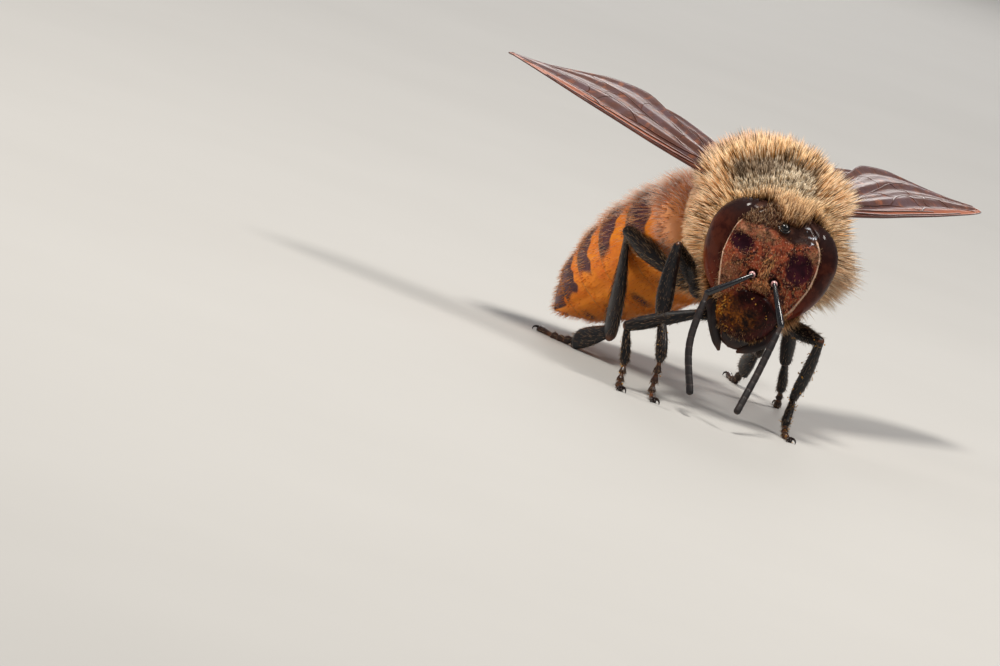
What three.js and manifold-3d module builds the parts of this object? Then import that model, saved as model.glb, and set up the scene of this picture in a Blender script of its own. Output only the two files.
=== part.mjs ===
// A worker honey bee at life size, standing with its wings half spread, its head turned to its right
// and its abdomen hanging to the same side. Each sub-part is one closed solid drawn out to the tips
// of its coat. Millimetres, +Z up. The bee faces -Y, its left side is +X, and the floor is at z = 0.

import * as THREE from 'three';
import { mergeVertices } from 'three/addons/utils/BufferGeometryUtils.js';
import Module from 'manifold-3d';

// ---------- driving dimensions ----------
// Every place below is measured from the centre of the thorax.
const THORAX_HEIGHT = 5.2;
const MIDDLE_OF_OUTLINE = { x: 1.25, y: 0.83 };
const LEAST_LIMB_RADIUS = 0.25;
const LIMB_END = { ringReach: 0.55, ringRadius: 0.72, tipReach: 0.8 };
const JOINT_GAP = 0.012;
const CUT_TOLERANCE = 0.004;
const SHARED_VOLUME = 0.006;
const WELD_DISTANCE = 0.001;

const THORAX = { halfWidth: 2.72, halfLength: 2.8, halfHeight: 2.75, lift: 0.1, roundness: 0.92 };

// The head is a stack of level sections: height, half width, and the reach of the face and the nape.
const HEAD = {
  centre: [-0.7, -2.75, -0.89],
  turn: { yaw: 18, pitch: 0, roll: 6 },
  sectionPower: 2.5,
  levels: [
    [1.92, 0.45, 0.2, 0.12],
    [1.84, 0.85, 0.38, 0.3],
    [1.67, 1.28, 0.56, 0.46],
    [1.4, 1.58, 0.7, 0.6],
    [1.07, 1.76, 0.83, 0.72],
    [0.7, 1.83, 0.93, 0.81],
    [0.25, 1.8, 1, 0.85],
    [-0.2, 1.68, 1.04, 0.84],
    [-0.66, 1.43, 1.06, 0.76],
    [-1.02, 1.14, 1.06, 0.64],
    [-1.4, 0.93, 1, 0.46],
    [-1.85, 0.7, 0.84, 0.25],
    [-2.1, 0.44, 0.66, 0.1],
  ],
};

// A compound eye is the side of the head, swollen a little, outside this inner margin (x, z).
const EYE = {
  swell: 0.07,
  back: -0.6,
  front: 1.6,
  outerEdge: 2.3,
  middle: [1.9, 0.35],
  margin: [
    [0.95, 1.8],
    [1.1, 1.5],
    [1.24, 1.2],
    [1.4, 0.7],
    [1.45, 0.25],
    [1.34, -0.3],
    [1.12, -0.8],
    [0.9, -1.12],
  ],
};

const OCELLUS = {
  radius: 0.16,
  places: { middle: [0, 0.72, 1.4], left: [0.34, 0.3, 1.86], right: [-0.34, 0.3, 1.86] },
};

const ANTENNA = {
  socket: [0.33, 0.92, -0.2],
  scapeRadius: 0.25,
  flagellumRadius: 0.25,
  left: { elbow: [-0.49, -4.69, -2.06], bend: [-0.97, -5.28, -3.45], tip: [-1.5, -5.93, -4.64] },
  right: { elbow: [-2.47, -3.57, -1.84], bend: [-2.74, -4.15, -3.3], tip: [-2.56, -4.88, -4.6] },
};

// Mouthparts, in the head's own axes: left, forward, up.
const MANDIBLE = {
  radii: [0.3, 0.34, 0.25],
  left: [[0.9, 0.4, -1.32], [0.74, 0.58, -1.84], [0.22, 0.66, -2.32]],
  right: [[-0.9, 0.4, -1.42], [-0.66, 0.52, -2.02], [-0.26, 0.54, -2.48]],
};
const LABRUM = { path: [[-0.22, 0.62, -2.16], [0.22, 0.62, -2.16]], radii: [0.25, 0.25] };
const PROBOSCIS = {
  path: [[0, 0.1, -2.1], [0, -0.32, -2.28], [0, -0.62, -1.72]],
  radii: [0.27, 0.3, 0.27],
};

// The abdomen follows a bent centre line that swings to the bee's right and hangs as it goes back.
const ABDOMEN = {
  start: [0, 2.2, -0.27],
  length: 7,
  swing: [14, 40],
  hang: [32, 45],
  heightToWidth: 0.88,
  lip: 0.035,
  girth: [
    [0, 0.35], [0.04, 1.05], [0.12, 1.8], [0.3, 2.05], [0.5, 1.98],
    [0.7, 1.62], [0.85, 1.13], [0.95, 0.57], [1, 0.14],
  ],
  plateEdges: [0, 0.17, 0.36, 0.54, 0.71, 0.86, 1],
};

// Wing outlines as fractions of the length: place along the span, leading edge, trailing edge.
// The trailing edge droops towards the tip, from the place where the droop starts.
const FOREWING = {
  length: 9.2,
  thickness: 0.5,
  edges: [
    [0, 0, -0.04], [0.08, 0.017, -0.09], [0.25, 0.02, -0.178], [0.45, 0.012, -0.262],
    [0.62, 0.005, -0.318], [0.75, -0.005, -0.318], [0.86, -0.018, -0.27], [0.94, -0.04, -0.21],
    [0.985, -0.072, -0.155], [1, -0.11, -0.125],
  ],
};
const HINDWING = {
  length: 6.4,
  thickness: 0.5,
  edges: [
    [0, 0, -0.05], [0.12, 0.014, -0.17], [0.3, 0.014, -0.25], [0.5, -0.006, -0.285], [0.7, -0.03, -0.29],
    [0.85, -0.066, -0.26], [0.96, -0.12, -0.205], [1, -0.155, -0.17],
  ],
  backSet: 0.55,
  inSet: 0.15,
  sweep: 9,
  drop: 0.3,
};
const WING_ROOT = { x: 1.7, y: -0.45, z: 1 };
const WING_SPREAD = {
  left: { span: [0.812, 0.565, 0.085], rise: 13, droop: 16 },
  right: { span: [-0.556, 0.819, 0.145], rise: 12, droop: 21 },
};
const DROOP_START = 0.55;

// Each leg: coxa, trochanter, knee and ankle, then the tarsus down to the floor.
const FOOT_HEIGHT = 0.2 - THORAX_HEIGHT;
const FOOT_RADIUS = 0.27;
const LEGS = {
  fore_right: {
    joints: [[-0.5, -1.2, -1.6], [-0.6, -1.9, -2.2], [-2.24, -2.79, -2.57], [-3.91, -2.2, -3.5]],
    tarsus: [[-3.76, -2.5, -4.5], [-3.86, -2.86, FOOT_HEIGHT], [-3.96, -3.3, FOOT_HEIGHT]],
  },
  fore_left: {
    joints: [[0.5, -1.2, -1.6], [0.6, -1.9, -2.2], [1.24, -3.69, -2.3], [1.29, -3.02, -4.1]],
    tarsus: [[1.13, -3.42, -4.85], [1.04, -3.84, FOOT_HEIGHT], [0.97, -4.4, FOOT_HEIGHT]],
  },
  mid_right: {
    joints: [[-0.9, -0.3, -1.9], [-1.45, -0.35, -2.2], [-2.94, -1.61, -0.98], [-3.07, -2.36, -2.89]],
    tarsus: [[-3, -3.02, -3.9], [-3.02, -3.3, FOOT_HEIGHT + 0.05], [-3.1, -3.8, FOOT_HEIGHT]],
  },
  mid_left: {
    joints: [[0.9, -0.3, -1.9], [1.4, -0.15, -2.2], [2.4, 1.35, -1.75], [2.85, 1.95, -3.7]],
    tarsus: [[3.2, 2.4, -4.65], [3.4, 2.8, FOOT_HEIGHT], [3.6, 3.3, FOOT_HEIGHT]],
  },
  hind_right: {
    joints: [[-0.95, 0.9, -1.9], [-1.5, 1.1, -2.15], [-2.56, 3.27, -1.44], [-2.36, 2.61, -4.3]],
    tarsus: [[-2.62, 3.4, -4.72], [-2.95, 4.4, FOOT_HEIGHT], [-3.3, 5.5, FOOT_HEIGHT]],
  },
  hind_left: {
    joints: [[0.95, 0.9, -1.9], [1.5, 1.1, -2.15], [2.5, 3.1, -1.2], [3, 4.5, -3.8]],
    tarsus: [[3.16, 5.3, -4.45], [3.3, 6.1, FOOT_HEIGHT], [3.45, 7, FOOT_HEIGHT]],
  },
};
// Half widths of the leg segments along their length, and how flat each section is.
const LEG_GIRTH = {
  fore: {
    coxa: [0.5, 0.36],
    femur: [0.3, 0.36, 0.27],
    tibia: [0.26, 0.33, 0.27],
    tarsus: [0.25, 0.25, 0.25],
  },
  mid: {
    coxa: [0.5, 0.36],
    femur: [0.3, 0.36, 0.27],
    tibia: [0.26, 0.38, 0.32],
    tarsus: [0.26, 0.27, 0.25],
  },
  hind: {
    coxa: [0.55, 0.38],
    femur: [0.3, 0.4, 0.28],
    tibia: [0.27, 0.44, 0.48],
    tarsus: [0.38, 0.42, 0.25],
  },
};
const HIND_FLATNESS = 0.6;

const COLOURS = {
  thorax: 0xb98a4e,
  head: 0x2c1712,
  eye: 0x150b09,
  ocellus: 0x0a0808,
  horn: 0x17120f,
  mouth: 0x3a1c10,
  orange: 0xc96a1c,
  dark: 0x34180f,
  wing: 0xa98f86,
  leg: 0x1c1310,
};

const wasm = await Module();
wasm.setup();

// ---------- axes and points ----------
const vector = (place) => new THREE.Vector3(...place);

// Left, forward and up for something that faces -Y and is then turned to its right, nodded and leaned.
function facing(yaw, pitch, roll) {
  const axes = { left: vector([1, 0, 0]), ahead: vector([0, -1, 0]), up: vector([0, 0, 1]) };
  const turnAll = (axis, degrees) => {
    const around = axis.clone();
    const angle = THREE.MathUtils.degToRad(degrees);
    Object.values(axes).forEach((each) => each.applyAxisAngle(around, angle));
  };
  turnAll(axes.up, -yaw);
  turnAll(axes.left, pitch);
  turnAll(axes.ahead, -roll);
  return axes;
}

function inAxes(axes, origin, [left, ahead, up]) {
  const point = origin.clone();
  point.addScaledVector(axes.left, left);
  point.addScaledVector(axes.ahead, ahead);
  point.addScaledVector(axes.up, up);
  return point;
}

// Straight-line interpolation in a table of [place, value] rows.
function lookUp(table, place) {
  const next = Math.max(1, table.findIndex(([start]) => start >= place));
  const [fromPlace, fromValue] = table[next - 1];
  const [toPlace, toValue] = table[next];
  return THREE.MathUtils.mapLinear(place, fromPlace, toPlace, fromValue, toValue);
}

const signedPower = (value, power) => Math.sign(value) * Math.abs(value) ** power;

// ---------- closed solids ----------
function toManifold(positions, indices) {
  const mesh = new wasm.Mesh({
    numProp: 3,
    vertProperties: new Float32Array(positions),
    triVerts: new Uint32Array(indices),
  });
  return new wasm.Manifold(mesh);
}

function signedVolume(positions, indices) {
  let volume = 0;
  const corner = (index) => new THREE.Vector3().fromArray(positions, index * 3);
  for (let i = 0; i < indices.length; i += 3) {
    volume += corner(indices[i]).dot(corner(indices[i + 1]).cross(corner(indices[i + 2]))) / 6;
  }
  return volume;
}

function closedSolid(positions, indices) {
  if (signedVolume(positions, indices) > 0) {
    return toManifold(positions, indices);
  }
  return toManifold(positions, [...indices].reverse());
}

// Skins a list of rings that all have the same number of points, and closes both ends with fans.
function loft(rings, firstTip, lastTip) {
  const sides = rings[0].length;
  const points = [...rings.flat(), firstTip, lastTip];
  const firstTipIndex = points.length - 2;
  const lastTipIndex = points.length - 1;
  const lastRing = (rings.length - 1) * sides;
  const indices = [];
  for (let side = 0; side < sides; side += 1) {
    const next = (side + 1) % sides;
    for (let start = 0; start < lastRing; start += sides) {
      indices.push(start + side, start + next, start + sides + side);
      indices.push(start + next, start + sides + next, start + sides + side);
    }
    indices.push(next, side, firstTipIndex);
    indices.push(lastRing + side, lastRing + next, lastTipIndex);
  }
  return closedSolid(points.flatMap((point) => point.toArray()), indices);
}

// A round-ended limb along a smooth path. The radii are spread evenly over the path, and flatness
// thins the section across the direction called flatAcross.
function limb(path, radii, { sides = 8, steps = 4, flatness = 1, flatAcross = [0, 0, 1] } = {}) {
  const curve = new THREE.CatmullRomCurve3(path.map(vector), false, 'centripetal');
  const spacing = 1 / (radii.length - 1);
  const radiusTable = radii.map((radius, i) => [i * spacing, radius]);
  const ring = (centre, along, radius) => {
    const wide = new THREE.Vector3().crossVectors(along, vector(flatAcross)).normalize();
    const thin = new THREE.Vector3().crossVectors(along, wide).normalize();
    const thinRadius = Math.max(radius * flatness, Math.min(radius, LEAST_LIMB_RADIUS));
    return Array.from({ length: sides }, (_, side) => {
      const angle = (side + 0.5) / sides * 2 * Math.PI;
      const point = centre.clone().addScaledVector(wide, radius * Math.cos(angle));
      return point.addScaledVector(thin, thinRadius * Math.sin(angle));
    });
  };
  const rings = [];
  for (let step = 0; step <= steps; step += 1) {
    const place = step / steps;
    rings.push(ring(curve.getPoint(place), curve.getTangent(place), lookUp(radiusTable, place)));
  }
  const domed = (place, outward, radius) => {
    const along = curve.getTangent(place);
    const dome = curve.getPoint(place).addScaledVector(along, outward * radius * LIMB_END.ringReach);
    const tip = curve.getPoint(place).addScaledVector(along, outward * radius * LIMB_END.tipReach);
    return { ring: ring(dome, along, radius * LIMB_END.ringRadius), tip };
  };
  const first = domed(0, -1, radii[0]);
  const last = domed(1, 1, radii[radii.length - 1]);
  return loft([first.ring, ...rings, last.ring], first.tip, last.tip);
}

function fromGeometry(geometry) {
  geometry.deleteAttribute('normal');
  geometry.deleteAttribute('uv');
  const merged = mergeVertices(geometry);
  return closedSolid([...merged.attributes.position.array], [...merged.index.array]);
}

// ---------- thorax ----------
function thorax() {
  const { halfWidth, halfLength, halfHeight, lift, roundness } = THORAX;
  const rings = [];
  const stations = 10;
  const sides = 20;
  for (let station = 1; station < stations; station += 1) {
    const angle = (station / stations - 0.5) * Math.PI;
    const girth = Math.cos(angle) ** roundness;
    const y = halfLength * Math.sin(angle);
    rings.push(Array.from({ length: sides }, (_, side) => {
      const around = side / sides * 2 * Math.PI;
      const x = halfWidth * girth * Math.cos(around);
      return new THREE.Vector3(x, y, lift + halfHeight * girth * Math.sin(around));
    }));
  }
  return loft(rings, vector([0, -halfLength, lift]), vector([0, halfLength, lift]));
}

// ---------- head, eyes and ocelli ----------
const headAxes = facing(HEAD.turn.yaw, HEAD.turn.pitch, HEAD.turn.roll);
const onHead = (place) => inAxes(headAxes, vector(HEAD.centre), place);

function headShape(swell) {
  const sides = 20;
  const power = 2 / HEAD.sectionPower;
  const rings = HEAD.levels.map(([height, halfWidth, face, nape]) => (
    Array.from({ length: sides }, (_, side) => {
      const angle = side / sides * 2 * Math.PI;
      const reach = Math.sin(angle) > 0 ? face : nape;
      const x = (halfWidth + swell) * signedPower(Math.cos(angle), power);
      return onHead([x, (reach + swell) * signedPower(Math.sin(angle), power), height]);
    })
  ));
  const [top] = HEAD.levels[0];
  const [bottom] = HEAD.levels[HEAD.levels.length - 1];
  return loft(rings, onHead([0, 0.1, top + 0.02 + swell]), onHead([0, 0.3, bottom - 0.05 - swell]));
}

function eye(side) {
  const top = EYE.margin[0];
  const bottom = EYE.margin[EYE.margin.length - 1];
  const outline = [...EYE.margin, [EYE.outerEdge, bottom[1]], [EYE.outerEdge, top[1]]];
  const wall = (depth) => outline.map(([x, z]) => onHead([side * x, depth, z]));
  const capCentre = (depth) => onHead([side * EYE.middle[0], depth, EYE.middle[1]]);
  const region = loft([wall(EYE.back), wall(EYE.front)], capCentre(EYE.back), capCentre(EYE.front));
  return headShape(EYE.swell).intersect(region);
}

function ocellus(place) {
  const geometry = new THREE.IcosahedronGeometry(OCELLUS.radius, 1);
  const centre = onHead(place);
  geometry.translate(centre.x, centre.y, centre.z);
  return fromGeometry(geometry);
}

// ---------- antennae and mouthparts ----------
function scape(side, elbow) {
  const [across, ahead, up] = ANTENNA.socket;
  const socket = onHead([side * across, ahead, up]);
  const { scapeRadius } = ANTENNA;
  return limb([socket.toArray(), elbow], [scapeRadius, scapeRadius], { steps: 2 });
}

function flagellum({ elbow, bend, tip }) {
  const { flagellumRadius } = ANTENNA;
  return limb([elbow, bend, tip], [flagellumRadius, flagellumRadius], { steps: 4 });
}

function headLimb(path, radii, steps) {
  return limb(path.map((place) => onHead(place).toArray()), radii, { steps });
}

// ---------- abdomen ----------
const abdomenAxes = (along) => facing(
  -THREE.MathUtils.lerp(...ABDOMEN.swing, along),
  -THREE.MathUtils.lerp(...ABDOMEN.hang, along),
  0,
);

// The centre line is walked in short straight steps, each along the axes at its middle.
function abdomenCentre(along) {
  const steps = 40;
  const point = vector(ABDOMEN.start);
  for (let step = 0; step < along * steps; step += 1) {
    const share = Math.min(1, along * steps - step);
    const { ahead } = abdomenAxes((step + 0.5) / steps);
    point.addScaledVector(ahead, -share * ABDOMEN.length / steps);
  }
  return point;
}

function abdomenRing(along, extra) {
  const sides = 20;
  const axes = abdomenAxes(along);
  const centre = abdomenCentre(along);
  const halfWidth = lookUp(ABDOMEN.girth, along) + extra;
  return Array.from({ length: sides }, (_, side) => {
    const angle = side / sides * 2 * Math.PI;
    const up = halfWidth * ABDOMEN.heightToWidth * Math.sin(angle);
    return inAxes(axes, centre, [halfWidth * Math.cos(angle), 0, up]);
  });
}

// One plate of the abdomen: a ring that flares to a lip over the start of the next.
function abdomenPlate(index) {
  const gap = JOINT_GAP / ABDOMEN.length;
  const from = ABDOMEN.plateEdges[index] + (index > 0 ? gap : 0);
  const to = ABDOMEN.plateEdges[index + 1];
  const lastIndex = ABDOMEN.plateEdges.length - 2;
  const steps = index === 0 ? 4 : 2;
  const lip = index === lastIndex ? 0 : ABDOMEN.lip;
  const lipFor = (share) => THREE.MathUtils.lerp(-lip, lip, share);
  const rings = [];
  for (let step = 0; step <= steps; step += 1) {
    const share = step / steps;
    rings.push(abdomenRing(THREE.MathUtils.lerp(from, to, share), lipFor(share)));
  }
  return loft(rings, abdomenCentre(from), abdomenCentre(to));
}

// ---------- wings ----------
// Span, level chord (pointing back) and normal of a wing.
function wingAxes(span) {
  const along = vector(span).normalize();
  const level = new THREE.Vector3().crossVectors(vector([0, 0, 1]), along).normalize();
  level.multiplyScalar(Math.sign(level.y));
  const normal = new THREE.Vector3().crossVectors(along, level).normalize();
  normal.multiplyScalar(Math.sign(normal.z));
  return { along, level, normal };
}

// Two directions of a plane, both turned by an angle in degrees from the first towards the second.
function turnedPair(first, second, degrees) {
  const angle = THREE.MathUtils.degToRad(degrees);
  const turned = first.clone().multiplyScalar(Math.cos(angle));
  const upright = second.clone().multiplyScalar(Math.cos(angle));
  turned.addScaledVector(second, Math.sin(angle));
  upright.addScaledVector(first, -Math.sin(angle));
  return [turned, upright];
}

function wingPlate(root, { along, level, normal }, { length, thickness, edges }, { rise, droop }) {
  const rings = edges.map(([place, lead, trail]) => {
    const bend = Math.max(0, (place - DROOP_START) / (1 - DROOP_START)) ** 2;
    const [chord, upright] = turnedPair(level, normal, rise - droop * bend);
    const corner = (edge, side) => {
      const point = root.clone().addScaledVector(along, place * length);
      return point.addScaledVector(chord, -edge * length).addScaledVector(upright, side * thickness / 2);
    };
    return [corner(lead, 1), corner(trail, 1), corner(trail, -1), corner(lead, -1)];
  });
  const middleOf = (ring) => ring[0].clone().add(ring[2]).multiplyScalar(0.5);
  return loft(rings, middleOf(rings[0]), middleOf(rings[rings.length - 1]));
}

function wings(side, spread) {
  const axes = wingAxes(spread.span);
  const root = vector([side * WING_ROOT.x, WING_ROOT.y, WING_ROOT.z]);
  const [chord, upright] = turnedPair(axes.level, axes.normal, spread.rise);
  const [along, level] = turnedPair(axes.along, chord, HINDWING.sweep);
  const hindRoot = root.clone().addScaledVector(axes.along, -HINDWING.inSet);
  hindRoot.addScaledVector(chord, HINDWING.backSet);
  hindRoot.z -= HINDWING.drop;
  return {
    fore: wingPlate(root, axes, FOREWING, spread),
    hind: wingPlate(hindRoot, { along, level, normal: upright }, HINDWING, { rise: 0, droop: 0 }),
  };
}

// ---------- legs ----------
// The tarsus is cut off level with the floor, which leaves a small flat under its last segments.
function aboveFloor(solid) {
  const size = 20;
  const block = new THREE.BoxGeometry(size, size, size);
  block.translate(0, 0, size / 2 - THORAX_HEIGHT);
  return solid.intersect(fromGeometry(block));
}

function leg(name, { joints, tarsus }) {
  const pair = name.split('_')[0];
  const girth = LEG_GIRTH[pair];
  const flat = pair === 'hind' ? { flatness: HIND_FLATNESS, flatAcross: [1, 0, 0] } : {};
  const [coxa, trochanter, knee, ankle] = joints;
  const [atAnkle, middle, atTip] = girth.tarsus;
  const foot = limb([ankle, ...tarsus], [atAnkle, middle, FOOT_RADIUS, atTip], { steps: 5, ...flat });
  return {
    tarsus: aboveFloor(foot),
    tibia: limb([knee, ankle], girth.tibia, { steps: 2, ...flat }),
    femur: limb([trochanter, knee], girth.femur, { steps: 2 }),
    coxa: limb([coxa, trochanter], girth.coxa, { steps: 1 }),
  };
}

// ---------- the whole bee, in the order in which later solids give way to earlier ones ----------
function subParts() {
  const parts = [];
  const add = (name, solid, colour, roughness = 0.5) => parts.push({ name, solid, colour, roughness });
  for (const [name, spread] of Object.entries(WING_SPREAD)) {
    const pair = wings(name === 'left' ? 1 : -1, spread);
    add(`forewing_${name}`, pair.fore, COLOURS.wing);
    add(`hindwing_${name}`, pair.hind, COLOURS.wing);
  }
  for (const [name, shape] of Object.entries(LEGS)) {
    Object.entries(leg(name, shape)).forEach(([segment, solid]) => {
      add(`${segment}_${name}`, solid, COLOURS.leg);
    });
  }
  for (const [name, place] of Object.entries(OCELLUS.places)) {
    add(`ocellus_${name}`, ocellus(place), COLOURS.ocellus, 0.1);
  }
  for (const [name, side] of [['left', 1], ['right', -1]]) {
    add(`scape_${name}`, scape(side, ANTENNA[name].elbow), COLOURS.horn, 0.3);
    add(`flagellum_${name}`, flagellum(ANTENNA[name]), COLOURS.horn, 0.6);
    add(`mandible_${name}`, headLimb(MANDIBLE[name], MANDIBLE.radii, 3), COLOURS.mouth, 0.3);
    add(`eye_${name}`, eye(side), COLOURS.eye, 0.15);
  }
  add('labrum', headLimb(LABRUM.path, LABRUM.radii, 1), COLOURS.mouth, 0.3);
  add('proboscis', headLimb(PROBOSCIS.path, PROBOSCIS.radii, 4), COLOURS.mouth);
  add('head', headShape(0), COLOURS.head, 0.4);
  for (let index = 0; index < ABDOMEN.plateEdges.length - 1; index += 1) {
    add(`abdomen_${index + 1}`, abdomenPlate(index), index < 3 ? COLOURS.orange : COLOURS.dark, 0.4);
  }
  add('thorax', thorax(), COLOURS.thorax, 0.9);
  return parts;
}

const biggestBody = (solid) => solid.decompose().reduce((a, b) => (b.volume() > a.volume() ? b : a));

function boxOf(solid) {
  const { min, max } = solid.boundingBox();
  return new THREE.Box3(vector(min), vector(max));
}

// Joins corners that a cut leaves closer together than the weld distance.
function weld(solid) {
  const { vertProperties, triVerts } = solid.getMesh();
  const geometry = new THREE.BufferGeometry();
  geometry.setAttribute('position', new THREE.BufferAttribute(vertProperties, 3));
  geometry.setIndex(new THREE.BufferAttribute(triVerts, 1));
  const merged = mergeVertices(geometry, WELD_DISTANCE);
  return toManifold([...merged.attributes.position.array], [...merged.index.array]);
}

// Takes the neighbours that stand before it out of a solid, unless they hardly reach into it.
function giveWay(solid, earlierSolids) {
  const box = boxOf(solid);
  const nearby = earlierSolids.filter((earlier) => boxOf(earlier).intersectsBox(box));
  const neighbours = nearby.filter((earlier) => solid.intersect(earlier).volume() > SHARED_VOLUME);
  if (neighbours.length === 0) {
    return solid;
  }
  const trimmed = wasm.Manifold.difference([solid, ...neighbours]).simplify(CUT_TOLERANCE);
  return biggestBody(weld(biggestBody(trimmed)));
}

function toMesh({ name, solid, colour, roughness }) {
  const { vertProperties, triVerts } = solid.getMesh();
  const geometry = new THREE.BufferGeometry();
  geometry.setAttribute('position', new THREE.BufferAttribute(vertProperties, 3));
  geometry.setIndex(new THREE.BufferAttribute(triVerts, 1));
  geometry.computeVertexNormals();
  const material = new THREE.MeshStandardMaterial({ color: colour, roughness, metalness: 0 });
  const mesh = new THREE.Mesh(geometry, material);
  mesh.name = name;
  return mesh;
}

const bee = new THREE.Group();
const finished = [];
for (const part of subParts()) {
  const solid = giveWay(part.solid, finished);
  finished.push(solid);
  bee.add(toMesh({ ...part, solid }));
}
bee.position.set(-MIDDLE_OF_OUTLINE.x, -MIDDLE_OF_OUTLINE.y, THORAX_HEIGHT);

export default bee;
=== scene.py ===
"""A worker honey bee at life size, standing with its wings half spread, with its coat, shell and wings
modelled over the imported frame. Lengths are in millimetres from the middle of the thorax, and each
mesh is written out in metres. The bee faces -Y and its left side is +X."""

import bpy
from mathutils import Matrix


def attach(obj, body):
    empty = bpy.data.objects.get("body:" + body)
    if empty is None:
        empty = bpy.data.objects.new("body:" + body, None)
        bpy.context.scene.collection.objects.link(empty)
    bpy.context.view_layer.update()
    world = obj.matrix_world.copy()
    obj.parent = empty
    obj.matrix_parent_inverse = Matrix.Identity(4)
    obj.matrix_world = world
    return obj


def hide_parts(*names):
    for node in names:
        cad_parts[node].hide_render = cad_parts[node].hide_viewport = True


bl_info = {
    "name": "Honey Bee",
    "version": (1, 0, 0),
    "blender": (4, 5, 0),
    "location": "3D View > Sidebar > Honey Bee",
    "description": "Builds a life-size worker honey bee piece by piece over its packed frame",
    "category": "Object",
}

import itertools
import math

import bpy
import numpy as np
from bpy.props import FloatProperty, FloatVectorProperty, IntProperty, PointerProperty
from bpy.types import Operator, Panel, PropertyGroup
from mathutils import Matrix, Vector

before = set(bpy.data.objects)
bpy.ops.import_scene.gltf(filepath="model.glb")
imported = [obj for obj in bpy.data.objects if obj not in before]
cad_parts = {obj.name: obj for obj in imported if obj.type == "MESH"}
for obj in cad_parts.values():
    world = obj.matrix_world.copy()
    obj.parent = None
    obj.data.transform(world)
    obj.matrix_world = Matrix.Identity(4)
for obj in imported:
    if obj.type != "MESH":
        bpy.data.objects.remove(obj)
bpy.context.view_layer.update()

# ---------- driving dimensions, in millimetres ----------
THORAX_CENTRE = np.array([-1.25, -0.83, 5.2])
METRES = 0.001
SIDES = {"left": 1, "right": -1}

THORAX_SHELL = np.array([1.9, 2.1, 1.95])
# The front of the coat's pattern is turned a little towards the head.
FUR_TURN = {"yaw": 12, "pitch": 0, "roll": -10}

HEAD_CENTRE = [-0.7, -2.75, -0.89]
HEAD_TURN = {"yaw": 18, "pitch": 0, "roll": 6}
# Height, half width, and the reach of the face and of the nape.
HEAD_LEVELS = [
    [-2.17, 0.1, 0.42, 0.02], [-2.1, 0.44, 0.66, 0.1], [-1.85, 0.7, 0.84, 0.25], [-1.4, 0.93, 1, 0.46],
    [-1.02, 1.14, 1.06, 0.64], [-0.66, 1.43, 1.06, 0.76], [-0.2, 1.68, 1.04, 0.84], [0.25, 1.8, 1, 0.85],
    [0.7, 1.83, 0.93, 0.81], [1.07, 1.76, 0.83, 0.72], [1.4, 1.58, 0.7, 0.6], [1.67, 1.28, 0.56, 0.46],
    [1.84, 0.85, 0.38, 0.3], [1.92, 0.45, 0.2, 0.12], [1.95, 0.1, 0.06, 0.04],
]
# How square the head is from above: 1 is an ellipse, and less is squarer.
HEAD_POWER = 0.8
# Height of the lower end of a compound eye, and from there to its upper end.
EYE_BOTTOM, EYE_RISE = -1.12, 3.01
EYE_THICKNESS = 0.1
# The inner edge of a compound eye: height and distance from the middle of the face.
EYE_MARGIN = [
    [-1.3, 0.85], [-1.12, 0.92], [-0.8, 1.12], [-0.4, 1.26], [-0.1, 1.35], [0.2, 1.41], [0.5, 1.42],
    [0.9, 1.37], [1.2, 1.24], [1.4, 1.06], [1.6, 0.84], [1.75, 0.64], [1.9, 0.42],
]
SOCKET = [0.34, 0.96, -0.14]
OCELLI = {"middle": [0, 0.7, 1.42], "left": [0.34, 0.27, 1.85], "right": [-0.34, 0.27, 1.85]}
ANTENNAE = {
    "left": [[-0.49, -4.69, -2.06], [-0.97, -5.28, -3.45], [-1.5, -5.93, -4.64]],
    "right": [[-2.47, -3.57, -1.84], [-2.74, -4.15, -3.3], [-2.56, -4.88, -4.6]],
}
# The short first joint of a flagellum ends at this share of its length, and ten rings follow it.
PEDICEL_END, FLAGELLUM_RINGS, FLAGELLUM_STEPS = 0.09, 10, 140
MANDIBLES = {
    "left": [[0.9, 0.4, -1.3], [0.74, 0.6, -1.84], [0.2, 0.66, -2.34]],
    "right": [[-0.92, 0.42, -1.38], [-0.66, 0.54, -1.98], [-0.3, 0.52, -2.5]],
}

ABDOMEN_START = [0, 2.2, -0.27]
ABDOMEN_LENGTH, ABDOMEN_STEPS = 7, 40
# How far it is swung to its right and hangs, in degrees at the waist and at the tip.
ABDOMEN_SWING = [14, 40]
ABDOMEN_HANG = [32, 45]
# Share of its length and half width.
ABDOMEN_GIRTH = [
    [0, 0.35], [0.04, 1.05], [0.12, 1.8], [0.3, 2.05], [0.5, 1.98], [0.7, 1.62], [0.85, 1.13],
    [0.95, 0.57], [1, 0.14],
]
# Its height over its width, and how much less the belly bulges than the back.
ABDOMEN_HEIGHT, BELLY_BULGE = 0.88, 0.93
PLATE_EDGES = [0, 0.17, 0.36, 0.54, 0.71, 0.86, 1]
LAST_PLATE = 5
# The rolled rear edge of a plate: how far each row is drawn in, and how far it lies behind.
LIP_IN = [0.004, 0.018, 0.04, 0.12]
LIP_BACK = [0.012, 0.016, 0.012, -0.01]
# One value for each plate, from the waist to the tip: where its dark band starts, how far down its sides
# the band reaches, how dark the spot on its back is, and how many hairs it has.
BAND_START = [1.3, 0.18, 0.38, 0.36, 0.26, 0.02]
BAND_REACH = [0, -0.4, -0.1, -0.25, -0.6, -1.2]
BACK_SPOT = [0.1, 0.3, 0.5, 0.7, 0.9, 1]
PLATE_HAIRS = [5200, 3000, 2400, 1900, 1000, 450]
# How far the hairs of each plate stand off it, how long and how pale they are.
PLATE_HAIR_LIFT = [0.6, 0.45, 0.35, 0.3, 0.25, 0.2]
PLATE_HAIR_REACH = [1.5, 1.2, 1.1, 1, 0.9, 1]
PLATE_HAIR_PALE = [0.7, 0.2, 0.35, 0.4, 0.3, 0.2]

WING_ROOT = [1.7, -0.45, 1]
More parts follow.
